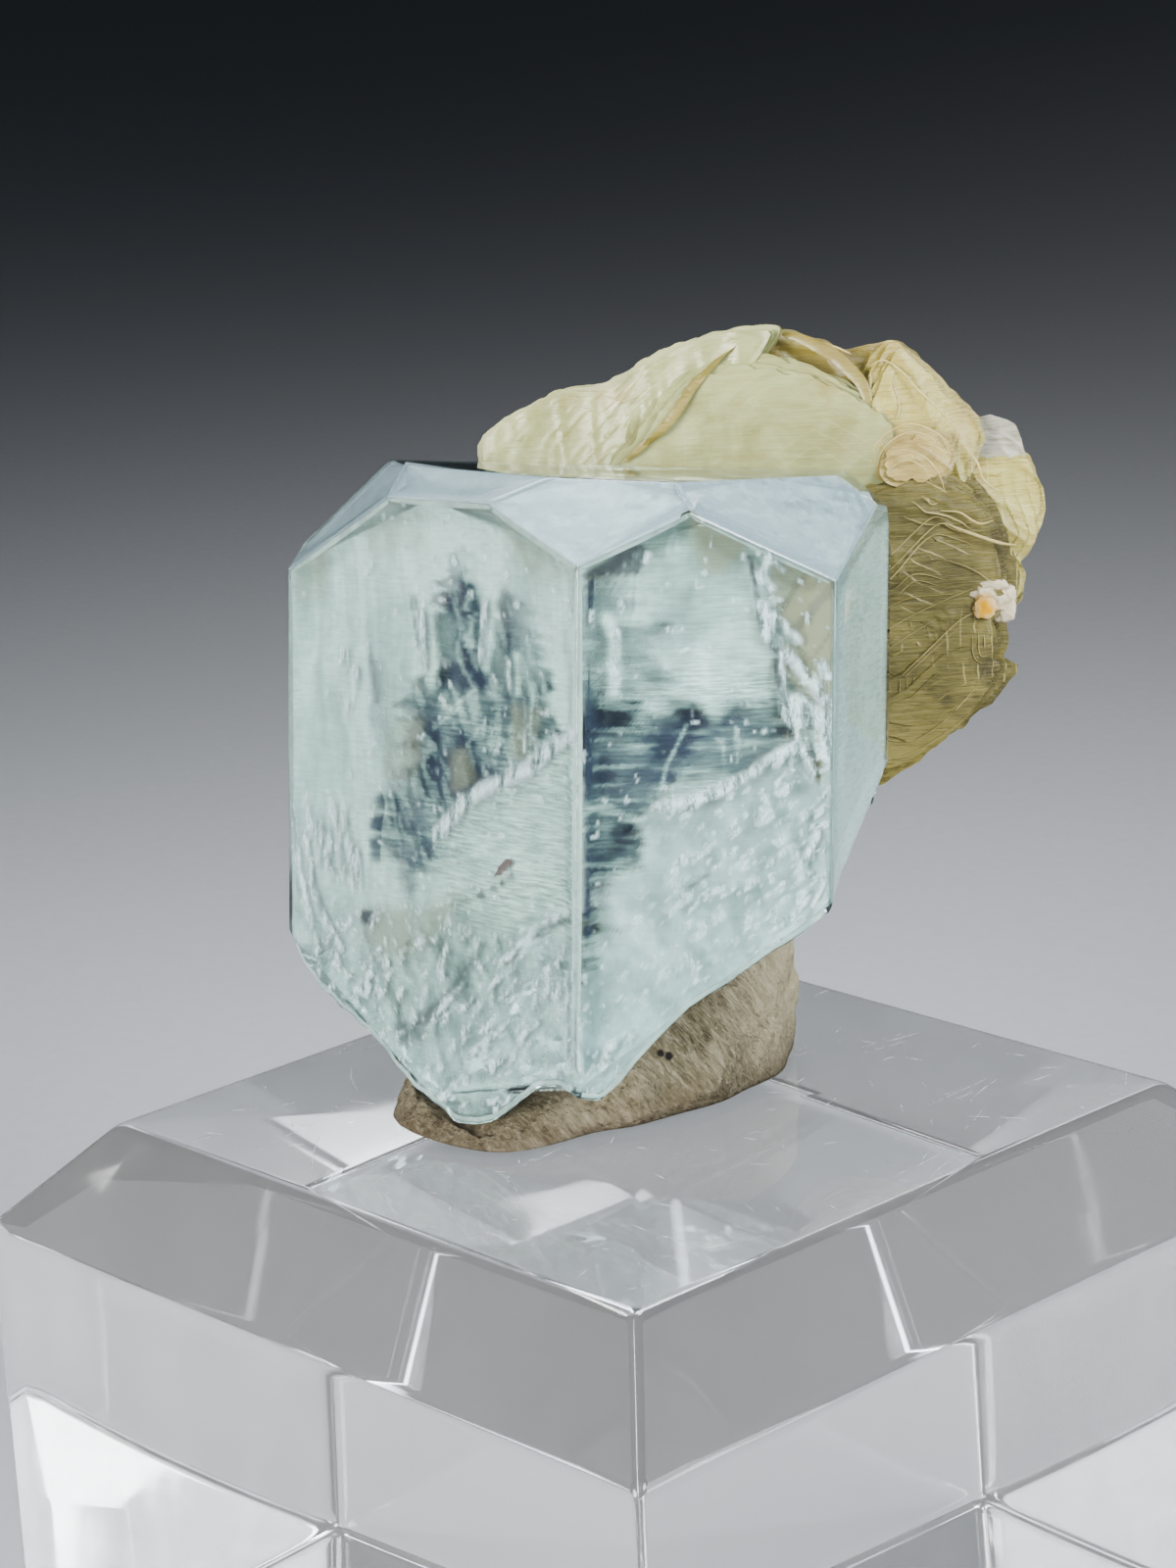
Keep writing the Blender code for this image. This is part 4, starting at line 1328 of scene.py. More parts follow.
# %% Cracks and dark places under the two front faces
LEFT_CRACK = [(-7.8, 9.5), (-6.6, 10.7), (-5.2, 11.4), (-2.8, 12.4), (-1.3, 13.5), (-0.4, 13.9)]
FRONT_CRACK = [(-0.2, 11.3), (0.3, 11.3), (1.6, 11.0), (3.2, 11.1), (5.3, 11.5), (6.7, 12.2), (8.0, 13.0),
               (8.7, 13.3), (10.4, 13.6)]
LEFT_DARK = [
    ([(-7.4, 20.9), (-6.5, 20.6), (-6.3, 18.9), (-6.5, 17.4), (-6.3, 15.0), (-9.3, 15.0), (-9.3, 17.7),
      (-8.4, 18.8)], 0.9, 0.90),
    ([(-6.4, 19.0), (-3.8, 18.8), (-2.6, 17.6), (-2.4, 15.4), (-6.4, 15.2)], 1.1, 0.60),
    ([(-10.0, 15.0), (-8.3, 16.0), (-5.2, 16.0), (-4.2, 13.6), (-4.6, 11.6), (-7.8, 9.3), (-9.8, 9.4),
      (-10.9, 11.4)], 1.2, 1.0),
    ([(-9.6, 10.4), (-7.8, 8.8), (-8.8, 7.4), (-10.8, 6.6), (-11.9, 8.4), (-11.0, 10.8)], 1.3, 0.70),
    ([(-4.9, 15.8), (-2.5, 15.8), (-1.3, 14.4), (-1.8, 12.9), (-4.9, 11.5)], 0.9, 0.80),
]
FRONT_DARK = [
    ([(-0.4, 19.9), (2.6, 19.6), (3.4, 16.2), (3.0, 15.2), (-0.4, 15.2)], 0.9, 0.50),
    ([(-0.4, 15.6), (2.8, 15.2), (4.8, 15.0), (5.2, 13.2), (4.6, 11.8), (1.6, 11.0), (-0.4, 11.0)], 1.0,
     1.0),
    ([(4.4, 15.1), (6.8, 15.0), (8.1, 14.0), (8.2, 13.1), (6.6, 12.3), (4.4, 11.5)], 1.1, 0.62),
    ([(-0.4, 11.6), (2.8, 11.2), (2.4, 8.3), (1.2, 7.0), (0.8, 5.0), (-0.4, 4.4)], 1.0, 0.75),
]
FAN = [(-16.3, 10.0), (-14.0, 9.9), (-11.2, 7.6), (-11.4, 6.1), (-14.0, 6.8), (-15.8, 7.0), (-16.4, 8.7)]
BROWN = [(9.1, 20.1), (10.2, 19.7), (10.2, 15.2), (9.2, 16.7), (8.0, 18.2), (8.4, 18.9)]
BROWN_FAR = [(6.4, 22.5), (10.6, 22.5), (10.6, 11.0), (8.8, 13.0), (8.2, 15.6), (7.4, 18.0), (6.8, 20.0)]
WHITE_PATCH = [(8.1, 15.2), (9.1, 15.3), (10.2, 14.5), (10.3, 11.6), (9.4, 11.8), (8.8, 13.0), (8.5, 14.1)]
RIBBONS = [
    ([(7.45, 20.6), (7.4, 19.7), (7.55, 19.0), (7.5, 18.4), (7.65, 17.7), (7.9, 17.3)], 0.20, 1.0),
    ([(7.0, 20.2), (7.15, 19.2), (7.3, 18.6)], 0.08, 0.7), ([(7.9, 20.4), (8.3, 19.9)], 0.08, 0.6),
    ([(7.9, 18.2), (8.7, 17.4), (9.3, 16.9), (9.75, 16.3), (10.05, 15.7)], 0.13, 0.9),
    ([(7.7, 17.5), (8.1, 17.0), (8.9, 16.3), (9.5, 15.6), (10.0, 14.9)], 0.18, 0.8),
    ([(7.9, 16.9), (8.2, 16.1), (8.2, 15.3), (8.5, 14.9), (8.8, 14.5)], 0.12, 0.8),
    ([(8.65, 13.9), (8.75, 13.0), (8.95, 12.5), (9.4, 11.9), (10.1, 11.65)], 0.06, 1.0),
]


# %% Where the crystal is milky
# Each function gives a film's two masks at points across a face and up it.
# The second one is 1 where the milk lies in level lines.
def left_milk(x, z):
    """Upright feathered veils, hairs in the dark zone, an even cloud below the
    crack and mottling towards the foot."""
    broad = grain(x + 0.10 * z, z, 0.5, 0.10, 101)
    feather = grain(x + 0.06 * z, z, 2.2, 0.20, 102)
    cloud = grain(x, z, 0.9, 0.7, 103)
    mottle = grain(x + 0.5 * z, z - 0.5 * x, 1.9, 0.8, 104)
    upper = step(z, 8.0, 12.0)
    cover = 0.72 + 0.60 * (broad - 0.45) + 0.50 * (feather - 0.5) * upper + 0.25 * (cloud - 0.5)
    dark = np.clip(1.35 * patches(*frayed(x, z, 301), LEFT_DARK), 0, 1)
    hairs = step(grain(x + 0.35 * z, z, 3.0, 1.1, 105), 0.50, 0.90)
    cover = blend(cover, 0.06 + 0.30 * (cloud - 0.5) + 0.26 * hairs, dark)
    cracked = step(np.interp(x, *zip(*LEFT_CRACK)) - z, -0.05, 0.15) * step(x, -9.0, -7.4)
    cover = blend(cover, 0.68 + 0.30 * (cloud - 0.5), cracked)
    foot = step(z, 7.2, 5.0)
    cover = blend(cover, 0.46 + 0.60 * (mottle - 0.5), foot)
    high = [(-8.9, 22.1), (-5.9, 22.0), (-6.1, 20.6), (-7.0, 19.7), (-9.1, 19.4)]
    cover = cover + 0.35 * patch(x, z, high, 1.0)
    cover = cover + 0.5 * patch(x, z, FAN, 0.8) * (feather - 0.15)
    # Strokes of thicker milk; the comma-shaped one near (-13, 14.5) is a painted highlight.
    cover = cover + strokes(x, z, [
        ([(-9.4, 18.8), (-9.0, 17.9), (-8.9, 16.8), (-8.7, 15.2)], 0.30, 0.80),
        ([(-5.4, 19.3), (-5.3, 18.4), (-5.5, 17.3), (-5.7, 16.1)], 0.26, 0.80),
        ([(-13.1, 15.8), (-12.9, 14.9), (-13.1, 14.3), (-13.7, 13.2)], 0.40, 0.40),
        ([(-14.6, 18.6), (-14.2, 16.2)], 0.60, 0.30),
        ([(-12.8, 21.4), (-12.2, 18.1), (-12.0, 16.0)], 0.18, 0.25),
        ([(-4.0, 16.6), (-3.9, 15.2)], 0.14, 0.80), ([(-3.15, 15.4), (-3.05, 12.5)], 0.08, 0.45),
        ([(-0.5, 18.0), (-0.5, 12.6)], 0.60, 0.30), ([(-7.6, 14.2), (-6.2, 15.2)], 0.07, 0.3),
        ([(-8.6, 13.4), (-7.0, 14.4)], 0.06, 0.3), ([(-7.2, 12.2), (-6.0, 13.6)], 0.06, 0.25),
        ([(-6.8, -0.7), (-3.0, -0.1)], 0.30, 0.6),
    ])
    cover = cover - strokes(x, z, [
        ([(-9.8, 18.5), (-9.6, 17.5), (-9.3, 16.5)], 0.14, 0.30),
        ([(-12.2, 17.6), (-11.8, 14.6)], 0.25, 0.20),
        ([(-10.6, 17.0), (-10.4, 14.0)], 0.25, 0.15), ([(-15.4, 12.6), (-15.2, 10.6)], 0.25, 0.15),
    ])
    lined = np.maximum(0.85 * dark * step(z, 17.0, 13.0), 0.75 * cracked * (1 - foot)) + 0.22
    return cover, lined


# %% Milk under the front face
def front_milk(x, z):
    """Soft veils, level lines in the dark zone, a mottled cloud below the crack
    and thin places over the brown stain."""
    soft = grain(x, z, 0.5, 0.12, 111)
    feather = grain(x, z, 2.2, 0.25, 112)
    cloud = grain(x, z, 0.8, 0.9, 113)
    mottle = grain(x + 0.55 * z, z - 0.55 * x, 1.9, 0.8, 114)
    cover = 0.68 + 0.25 * (soft - 0.4) + 0.12 * (feather - 0.5) + 0.15 * (cloud - 0.5)
    dark = np.clip(1.35 * patches(*frayed(x, z, 311), FRONT_DARK), 0, 1)
    hairs = step(grain(x, z, 0.40, 3.8, 115), 0.50, 0.88) * 0.38
    deep = 0.03 + 0.25 * (cloud - 0.5) + 0.8 * hairs
    cover = blend(cover, deep, dark)
    cracked = step(np.interp(x, *zip(*FRONT_CRACK)) - z, -0.10, 0.30)
    low = 0.74 + 0.42 * (mottle - 0.5) + 0.15 * (cloud - 0.5)
    low = blend(low, deep, dark)
    cover = blend(cover, low, cracked)
    cover = blend(cover, 0.30, patch(x, z, BROWN, 0.3))
    cover = blend(cover, 0.34, patch(x, z, [(0.2, 20.0), (2.4, 20.0), (3.0, 20.5), (2.6, 21.2)], 0.2))
    cover = cover + strokes(x, z, [
        ([(1.35, 18.3), (1.6, 17.4), (1.6, 16.6), (1.6, 15.6)], 0.22, 0.85),
        ([(2.3, 21.1), (2.4, 18.2)], 0.06, 0.30),
        ([(3.8, 21.7), (3.7, 20.7)], 0.09, 0.25), ([(3.9, 21.6), (4.1, 20.8)], 0.07, 0.25),
        ([(3.4, 11.5), (3.7, 12.6), (4.1, 13.4), (4.45, 14.2)], 0.08, 0.35),
        ([(6.4, 14.1), (6.5, 12.7)], 0.07, 0.35),
        ([(5.9, 13.6), (6.0, 12.7)], 0.07, 0.30), ([(0.1, 11.0), (0.1, 2.0)], 0.3, 0.25),
        ([(0.3, 11.2), (1.6, 10.9), (2.6, 10.5)], 0.12, 0.35),
        ([(2.2, 16.2), (3.0, 15.4), (2.8, 14.6)], 0.35, 0.25),
    ])
    lined = blend(0.30 + 0.6 * step(z, 17.5, 15.0), 0.10 + 0.8 * dark, cracked) * step(z, 3.0, 7.0)
    return cover, lined


# %% Milk under the right face and the slopes
def right_milk(x, z):
    """An even cloud with two bright ticks."""
    cloud = grain(x, z, 0.3, 0.2, 122)
    ticks = stroke(x, z, [(8.1, 19.2), (8.1, 18.8)], 0.12) + stroke(x, z, [(5.6, 15.3), (5.6, 15.0)], 0.10)
    return 0.95 + 0.2 * (cloud - 0.4) + 0.4 * ticks, 0.25


# On the sloped faces this milk is tinted lavender, a painted reflection of the sky.
def slope_milk(x, z):
    """An even cloud with flecks and small clear holes."""
    cloud = grain(x, z, 0.5, 0.6, 131)
    flecks = step(grain(x, z, 2.1, 2.6, 132), 0.66, 0.80)
    holes = step(grain(x, z, 1.4, 1.8, 133), 0.70, 0.85)
    return 0.72 + 0.25 * (cloud - 0.4) + 0.2 * flecks - 0.25 * holes, 0.1


def combed_milk(x, z):
    """The same cloud, combed in slanting streaks towards its far edge."""
    combed = grain(x - 0.55 * z, z, 2.8, 0.25, 141)
    near_edge = step(x, 3.4, 6.0)
    return slope_milk(x, z)[0] * blend(1.0, 0.55 + 0.9 * combed, near_edge), 0.1


def smooth_milk(x, z):
    """A thin even cloud."""
    return 0.60 + 0.25 * (grain(x, z, 0.3, 0.4, 151) - 0.4), 0.1


# %% Where it is dark further in: painted shade
# The dark films are painted shade, blue-grey where the second mask is 1; where it is 0 they are a brown
# stain.
def left_painted_shade(x, z):
    """Frayed places of painted shade, blotted and swirled."""
    blot = grain(x, z, 1.1, 1.3, 161)
    swirl = grain(x + 0.6 * z, z - 0.4 * x, 1.2, 2.6, 162)
    uneven = 1.0 + 0.2 * step(blot, 0.35, 0.6) + 0.35 * (swirl - 0.5)
    return patches(*frayed(x, z, 301), LEFT_DARK) * uneven, 1.0


def front_shade_and_stain(x, z):
    """Frayed places of painted shade, and a brown stain by the right edge."""
    blot = grain(x, z, 0.7, 0.9, 171)
    dark = patches(*frayed(x, z, 311), FRONT_DARK) * (1.0 + 0.2 * step(blot, 0.35, 0.6))
    warm = patches(x, z, [(BROWN_FAR, 0.5, 1.3)])
    return np.maximum(dark, warm), step(dark, 0.1, 0.5)


# %% Stains and thin dark cracks just under the faces
# The second mask is 1 where the film is a grey crack, and 0 where it is brown.
def left_stain(x, z):
    """Feathered brown stains and thin grey cracks."""
    feather = grain(x, z, 2.4, 0.3, 181)
    warm = patches(x, z, [
        ([(-12.2, 22.2), (-8.7, 22.4), (-9.1, 20.4), (-12.6, 20.0)], 0.9, 0.15),
        ([(-4.9, 22.4), (-2.7, 22.2), (-0.3, 20.4), (-0.5, 19.5), (-2.7, 19.6), (-4.2, 20.9)], 0.6, 0.18),
        ([(-17.0, 19.1), (-16.2, 19.7), (-14.4, 20.4), (-15.0, 18.2), (-16.8, 17.6)], 1.0, 0.20),
        ([(-11.0, 13.6), (-8.9, 13.8), (-9.4, 11.3), (-11.3, 11.2)], 0.7, 0.20),
        ([(-3.9, 14.8), (-2.1, 14.8), (-3.0, 12.5), (-3.9, 12.8)], 0.5, 0.30),
        ([(-7.6, 12.6), (-6.4, 12.8), (-5.8, 11.6), (-7.4, 11.0)], 0.5, 0.30),
        ([(-12.7, 5.7), (-9.1, 6.3), (-6.7, 7.0), (-7.9, 5.6), (-9.5, 4.1), (-11.6, 3.9), (-12.9, 4.8)],
         0.9, 0.26),
    ]) + strokes(x, z, [
        ([(-4.0, 22.0), (-3.3, 20.6)], 0.22, 0.18), ([(-2.6, 21.6), (-2.3, 20.2)], 0.16, 0.15),
    ])
    warm = warm * (0.30 + 0.6 * feather)
    grey = strokes(x, z, [
        ([(-5.5, 5.2), (-6.3, 4.3), (-7.1, 3.5), (-9.0, 1.8)], 0.10, 0.34),
        ([(-7.6, 1.6), (-8.8, 0.6)], 0.05, 0.35),
        ([(-6.6, 6.9), (-5.5, 7.2), (-3.8, 8.1)], 0.05, 0.45),
        ([(-2.8, 5.7), (-2.0, 6.3), (-0.5, 6.9)], 0.08, 0.55),
        ([(-12.2, 16.0), (-11.8, 14.2)], 0.10, 0.25), ([(-9.75, 18.4), (-9.3, 16.6)], 0.08, 0.35),
        ([(-12.6, 4.9), (-11.9, 3.6)], 0.10, 0.25),
    ]) + patches(x, z, [
        ([(-10.9, 1.4), (-9.0, 1.7), (-9.2, 0.9), (-10.3, 0.6)], 0.3, 0.24),
        ([(-12.9, 5.65), (-11.6, 5.8), (-11.9, 5.2), (-12.7, 5.1)], 0.2, 0.65),
    ])
    return np.maximum(warm, grey), step(grey - warm, -0.1, 0.1)


# %% Stains under the front face
def front_stain(x, z):
    """Brown stains by the right edge, thin grey cracks and a slanting comb."""
    slanted = grain((1.45 * x - z) / 1.76, (x + 1.45 * z) / 1.76, 3.4, 0.25, 191)
    warm = patches(x, z, [
        ([(4.4, 22.1), (5.1, 22.2), (5.8, 21.8), (6.8, 21.3), (6.5, 20.8), (5.7, 19.9), (5.1, 20.0),
          (4.7, 20.9)], 0.5, 0.30),
        (BROWN, 0.2, 0.85), ([(7.6, 20.6), (9.1, 20.1), (8.4, 18.9), (7.9, 18.2)], 0.4, 0.35),
        ([(8.2, 17.3), (9.3, 16.8), (10.2, 15.4), (10.2, 14.6), (9.1, 15.3), (8.2, 16.2)], 0.3, 0.55),
    ])
    lines = strokes(x, z, [
        ([(6.8, 20.6), (7.0, 19.8), (7.15, 18.9), (7.3, 18.1), (7.6, 17.4), (7.9, 17.0)], 0.09, 0.75),
        ([(7.9, 16.6), (8.0, 15.8), (8.4, 15.0), (8.5, 14.1), (8.6, 13.4)], 0.10, 0.65),
        ([(8.3, 17.9), (9.0, 17.3), (9.6, 16.7), (10.0, 16.1)], 0.05, 0.50),
        ([(0.2, 19.95), (2.6, 20.05)], 0.05, 0.65), ([(0.3, 19.6), (2.2, 19.65)], 0.03, 0.40),
        ([(0.3, 19.35), (1.8, 19.4)], 0.03, 0.35), ([(2.25, 20.0), (2.3, 18.6)], 0.04, 0.30),
        ([(4.5, 7.9), (5.4, 8.5)], 0.06, 0.35), ([(0.2, 6.8), (1.1, 6.65), (1.8, 6.3)], 0.06, 0.35),
        ([(2.2, 9.9), (3.0, 10.5)], 0.05, 0.3), ([(7.2, 10.2), (8.0, 11.0)], 0.05, 0.3),
    ])
    wedge = patch(x, z, [(0.3, 20.0), (2.3, 21.25), (2.7, 21.0), (2.9, 20.5), (2.4, 20.05)], 0.12)
    grey = np.maximum(lines, wedge * (0.10 + 0.55 * slanted))
    combs = patch(x, z, BROWN, 0.2) * step(slanted, 0.50, 0.62) * 0.35
    return np.maximum(warm, grey), np.maximum(step(grey - warm, -0.05, 0.1), combs)


# %% Where broken walls mirror the light
# Bright flecks, crack walls and short shards, painted near-white as glints and reflections. The second mask
# isn't used.
def left_glints(x, z):
    """Painted glints: the crack's bright wall, upright shards, short glints,
    and flecks near the foot."""
    fleck = grain(x + 0.9 * z, z - 0.9 * x, 0.9, 3.2, 201)
    sparse = grain(x, z, 3.4, 2.8, 202)
    upright = grain(x, z, 3.4, 0.40, 203)
    cover = strokes(x, z, [
        (LEFT_CRACK, 0.22, 1.4), ([(-16.8, 9.7), (-16.4, 7.0), (-15.2, 3.0)], 0.11, 1.2),
        ([(-16.1, 8.4), (-15.6, 5.9), (-13.9, 4.0)], 0.13, 1.1), ([(-15.7, 8.8), (-15.3, 7.8)], 0.12, 0.8),
        ([(-0.5, 4.8), (-0.7, 2.3), (-0.5, 1.0)], 0.13, 0.6),
        ([(-2.7, 2.6), (-3.5, 1.2), (-5.4, -1.0)], 0.09, 0.5),
        ([(-2.8, 5.9), (-2.0, 6.5), (-0.5, 7.1)], 0.10, 0.7),
        ([(-10.0, 6.2), (-8.2, 6.4), (-6.6, 7.0)], 0.05, 0.35),
        ([(-9.1, 18.0), (-8.95, 17.2), (-8.9, 15.8)], 0.13, 1.2),
        ([(-5.35, 18.6), (-5.5, 17.3), (-5.7, 16.3)], 0.11, 1.0),
        ([(-13.0, 15.4), (-12.95, 14.7)], 0.14, 0.9), ([(-13.1, 14.3), (-13.6, 13.4)], 0.10, 0.6),
        ([(-3.98, 16.4), (-3.9, 15.5)], 0.08, 0.9), ([(-3.1, 15.2), (-3.05, 13.0)], 0.04, 0.7),
        ([(-4.45, 4.6), (-4.0, 4.9)], 0.09, 1.4), ([(-7.6, 5.8), (-7.0, 6.6)], 0.08, 0.5),
        ([(-7.9, 4.1), (-7.5, 4.9)], 0.07, 1.2), ([(-9.0, 2.3), (-8.7, 3.1)], 0.06, 1.0),
        ([(-5.0, 1.5), (-3.8, 2.5)], 0.05, 0.9), ([(-3.3, 1.8), (-2.3, 2.7)], 0.08, 1.2),
        ([(-2.9, 2.9), (-1.0, 4.1)], 0.05, 0.9), ([(-6.4, 2.6), (-5.5, 3.6)], 0.05, 0.8),
        ([(-7.2, 0.6), (-6.2, 1.6)], 0.05, 0.8), ([(-5.2, -0.9), (-4.0, 0.3)], 0.12, 1.2),
        ([(-15.35, 9.0), (-15.0, 8.2), (-14.7, 7.3)], 0.13, 1.3),
        ([(-15.7, 6.4), (-15.2, 5.3), (-14.7, 4.7)], 0.12, 1.3),
    ]) * (0.55 + 0.9 * (fleck - 0.3))
    cover = cover + 0.6 * patch(x, z, FAN, 0.9) * step(upright, 0.60, 0.90)
    shard = [(-13.1, 2.4), (-12.1, 3.3), (-11.2, 2.9), (-11.6, 2.1)]
    cover = cover + patch(x, z, shard, 0.3) * step(sparse, 0.45, 0.7)
    cover = cover + 0.8 * step(fleck, 0.66, 0.90) * step(z, 6.5, 4.5)
    return cover + 0.35 * step(sparse, 0.90, 1.0), 0.0


# %% Broken walls under the front face
def front_glints(x, z):
    """Painted glints and reflections: a torn ribbon of healed cracks, a white
    patch, the crack's wall, and flecks below it."""
    fleck = grain(x + 0.75 * z, z - 0.75 * x, 1.3, 4.4, 211)
    sparse = grain(x, z, 3.4, 2.8, 212)
    crumple = grain(x, z, 1.3, 1.3, 213, 4)
    torn = 0.10 * (crumple - 0.5) * 6
    cover = strokes(x + torn, z - torn, [(path, 1.1 * wide, much) for path, wide, much in RIBBONS])
    cover = cover * step(crumple, 0.22, 0.42)
    cover = cover + 0.8 * patch(x + torn, z, WHITE_PATCH, 0.3) * step(crumple, 0.32, 0.56)
    below = step(np.interp(x, *zip(*FRONT_CRACK)) - z, -0.2, 0.4) * step(z, 4.0, 7.5) * step(x, 1.5, 6.0)
    cover = cover + 0.55 * below * step(fleck, 0.66, 0.92)
    cover = cover + 0.3 * step(fleck, 0.74, 0.98) * step(z, 6.0, 4.5)
    cover = cover + strokes(x, z, [
        (FRONT_CRACK[3:8], 0.17, 1.1 * crumple), ([(4.6, 11.3), (5.9, 11.6), (6.8, 12.2)], 0.10, 0.7),
        ([(7.2, 10.4), (8.0, 11.1)], 0.12, 0.7),
        ([(7.8, 8.9), (8.6, 9.4)], 0.12, 0.6), ([(3.77, 8.6), (3.77, 8.35)], 0.06, 1.0),
        ([(1.55, 17.8), (1.6, 16.0)], 0.11, 1.2), ([(2.7, 20.5), (2.8, 20.7)], 0.10, 1.0),
        ([(0.8, 16.2), (1.6, 17.0)], 0.03, 0.8), ([(6.4, 14.0), (6.5, 12.9)], 0.03, 0.4),
        ([(0.15, 3.0), (0.2, 1.0)], 0.12, 0.6), ([(1.2, 0.9), (1.45, 1.9)], 0.14, 1.3),
        ([(1.7, 0.8), (1.6, 1.4)], 0.06, 1.0),
        ([(4.0, 8.9), (4.4, 9.3)], 0.06, 0.9), ([(9.0, 8.7), (9.6, 9.8)], 0.10, 1.1),
        ([(9.3, 6.8), (9.9, 8.0)], 0.06, 0.9),
    ])
    return cover + 0.35 * step(sparse, 0.90, 1.0), 0.0


# %% Materials of the films
def film_material(name, thin, thick, lines, relief):
    """A milky film. The mask cover says how much of it there is. Noise breaks
    it in parts finer than its points can hold: level growth lines where the
    second mask is 1, crumbs where it is 0."""
    mat, tree, shader, at = new_material(name, Roughness=0.4, IOR=1.35)
    level = noise_node(placed(along_crystal(at), scale=lines), 1.0, 2.0, 0.6)
    crumbs = noise_node(at, 2.4, 2.0, 0.65)
    cover, second = point_value(tree, "cover"), point_value(tree, "second")
    fine = mixed_values(second, crumbs, level)
    crumbly = spread(crumbs, 0.30, 0.70, 0.88, 1.10)
    breaks = mixed_values(second, crumbly, spread(level, 0.36, 0.64, 0.50, 1.35))
    much = times(cover, breaks, clamp=True)
    bluish = node(tree, "Mix", {0: 0.65, 6: thick, 7: rgb(184, 206, 214)}, data_type="RGBA").outputs[2]
    full = mixed(spread(second, 0.0, 0.30), bluish, thick)
    feed(shader, Alpha=much, Base_Color=mixed(much, thin, full))
    feed(shader, Normal=bump(fine, relief, 0.1))
    return mat


milk = film_material("milky_film", rgb(146, 178, 172), rgb(214, 240, 232), (0.9, 0.9, 9.0), 0.18)
# Under the sloped top faces: milk whose pale lavender-blue colour is a painted reflection of the sky.
lavender_sky_sheen = film_material("lavender_sky_sheen_film", rgb(206, 224, 236), rgb(234, 250, 254), (1.2, 1.2, 1.2), 0.1)
# Painted shade: dark blue-grey films; the warm colour is a brown stain.
painted_shade_and_stain, tree, shader, at = new_material("shade_and_stain_film", Roughness=0.5, IOR=1.35)
level = noise_node(placed(along_crystal(at), scale=(1.0, 1.0, 7.0)), 1.0, 2.0, 0.6)
cover, second = point_value(tree, "cover"), point_value(tree, "second")
warm = mixed(level, rgb(132, 128, 100), rgb(176, 172, 146))
cold_shade = mixed(level, rgb(28, 35, 55), rgb(66, 78, 102))
feed(shader, Base_Color=mixed(second, warm, cold_shade))
feed(shader, Alpha=times(cover, spread(level, 0.34, 0.60, 0.75, 1.15), clamp=True))
stain, tree, shader, at = new_material("stained_film", Roughness=0.5, IOR=1.35)
cover, second = point_value(tree, "cover"), point_value(tree, "second")
feed(shader, Alpha=cover, Base_Color=mixed(second, rgb(152, 154, 128), rgb(66, 70, 76)))
# Painted glints and reflections: a crumpled mix from grey to near-white.
glint_film, tree, shader, at = new_material("painted_glint_walls", Roughness=0.22, IOR=1.8)
crumple = noise_node(placed(at, scale=(1.0, 1.0, 0.32)), 2.2, 4.0, 0.7)
painted_lit = spread(crumple, 0.40, 0.55)
feed(shader, Base_Color=mixed(painted_lit, rgb(112, 136, 138), rgb(236, 252, 255)))
feed(shader, Normal=bump(crumple, 1.0, 0.3))
cover = point_value(tree, "cover")
feed(shader, Alpha=times(cover, spread(crumple, 0.40, 0.52, 0.25, 1.15), clamp=True))

# %% Films under the faces
MIDDLE = [(-17, 14.5), (11, 14.5)]     # a start line that lies well inside every upright face
add_films("painted_glint_walls", [
    film(LEFT_FACE, (-16.9, -0.10), MIDDLE, 0.35, 0.05, left_glints, (110, 160), 1, 0.09),
    film(FRONT_FACE, (0.10, 10.10), MIDDLE, 0.35, 0.05, front_glints, (90, 160), 2, 0.09),
], glint_film)
add_films("stained_films", [
    film(LEFT_FACE, (-16.88, -0.12), MIDDLE, 0.55, 0.05, left_stain, (90, 110), 3, 0.13),
    film(FRONT_FACE, (0.12, 10.08), MIDDLE, 0.55, 0.05, front_stain, (70, 130), 4, 0.13),
], stain)
add_films("milky_films", [
    film(LEFT_FACE, (-16.86, -0.14), MIDDLE, 1.0, 0.25, left_milk, (120, 190), 5, 0.17),
    film(FRONT_FACE, (0.10, 10.10), MIDDLE, 1.0, 0.25, front_milk, (90, 190), 6, 0.17),
    film(RIGHT_FACE, (0.12, 9.6), MIDDLE, 0.6, 0.1, right_milk, (30, 100), 7, 0.14),
], milk)
add_films("sloped_films", [
    film(FRONT_SLOPE, (-4.3, 4.1), [(-4.2, 3.5), (0, 2.5), (4.0, 3.9)],
         0.35, 0.08, slope_milk, (60, 40), 8, 0.10),
    film(RIGHT_SLOPE, (-4.5, 6.9), [(-4.5, 5.2), (0, 3.0), (6.9, 4.6)],
         0.35, 0.08, combed_milk, (70, 50), 9, 0.10),
    film(LEFT_TOP, (-7.8, 1.6), [(-7.8, 2.7), (-6.5, 1.8), (0, 1.2), (1.6, 2.3)],
         0.30, 0.05, smooth_milk, (36, 20), 10, 0.10),
    film(LEFT_SLOPE, (-1.1, 5.6), [(-1.1, 2.6), (1.0, 2.6), (5.6, 5.3)],
         0.35, 0.08, smooth_milk, (36, 24), 11, 0.10),
], lavender_sky_sheen)
add_films("shade_and_stain_films", [
    film(LEFT_FACE, (-12.2, -0.5), MIDDLE, 2.4, 0.3, left_painted_shade, (70, 120), 12, 0.36),
    film(FRONT_FACE, (0.4, 9.85), MIDDLE, 2.2, 0.3, front_shade_and_stain, (60, 120), 13, 0.36),
], painted_shade_and_stain)

# %% [markdown]
# ## Edges and specks
# Light gathers in a clear crystal's edges, and they shine as pale lines. A
# material alone doesn't show this in few light paths, so a flat strip lies
# under each edge, and one under each face's broken foot. A few dark specks
# of another mineral lie near the left face.

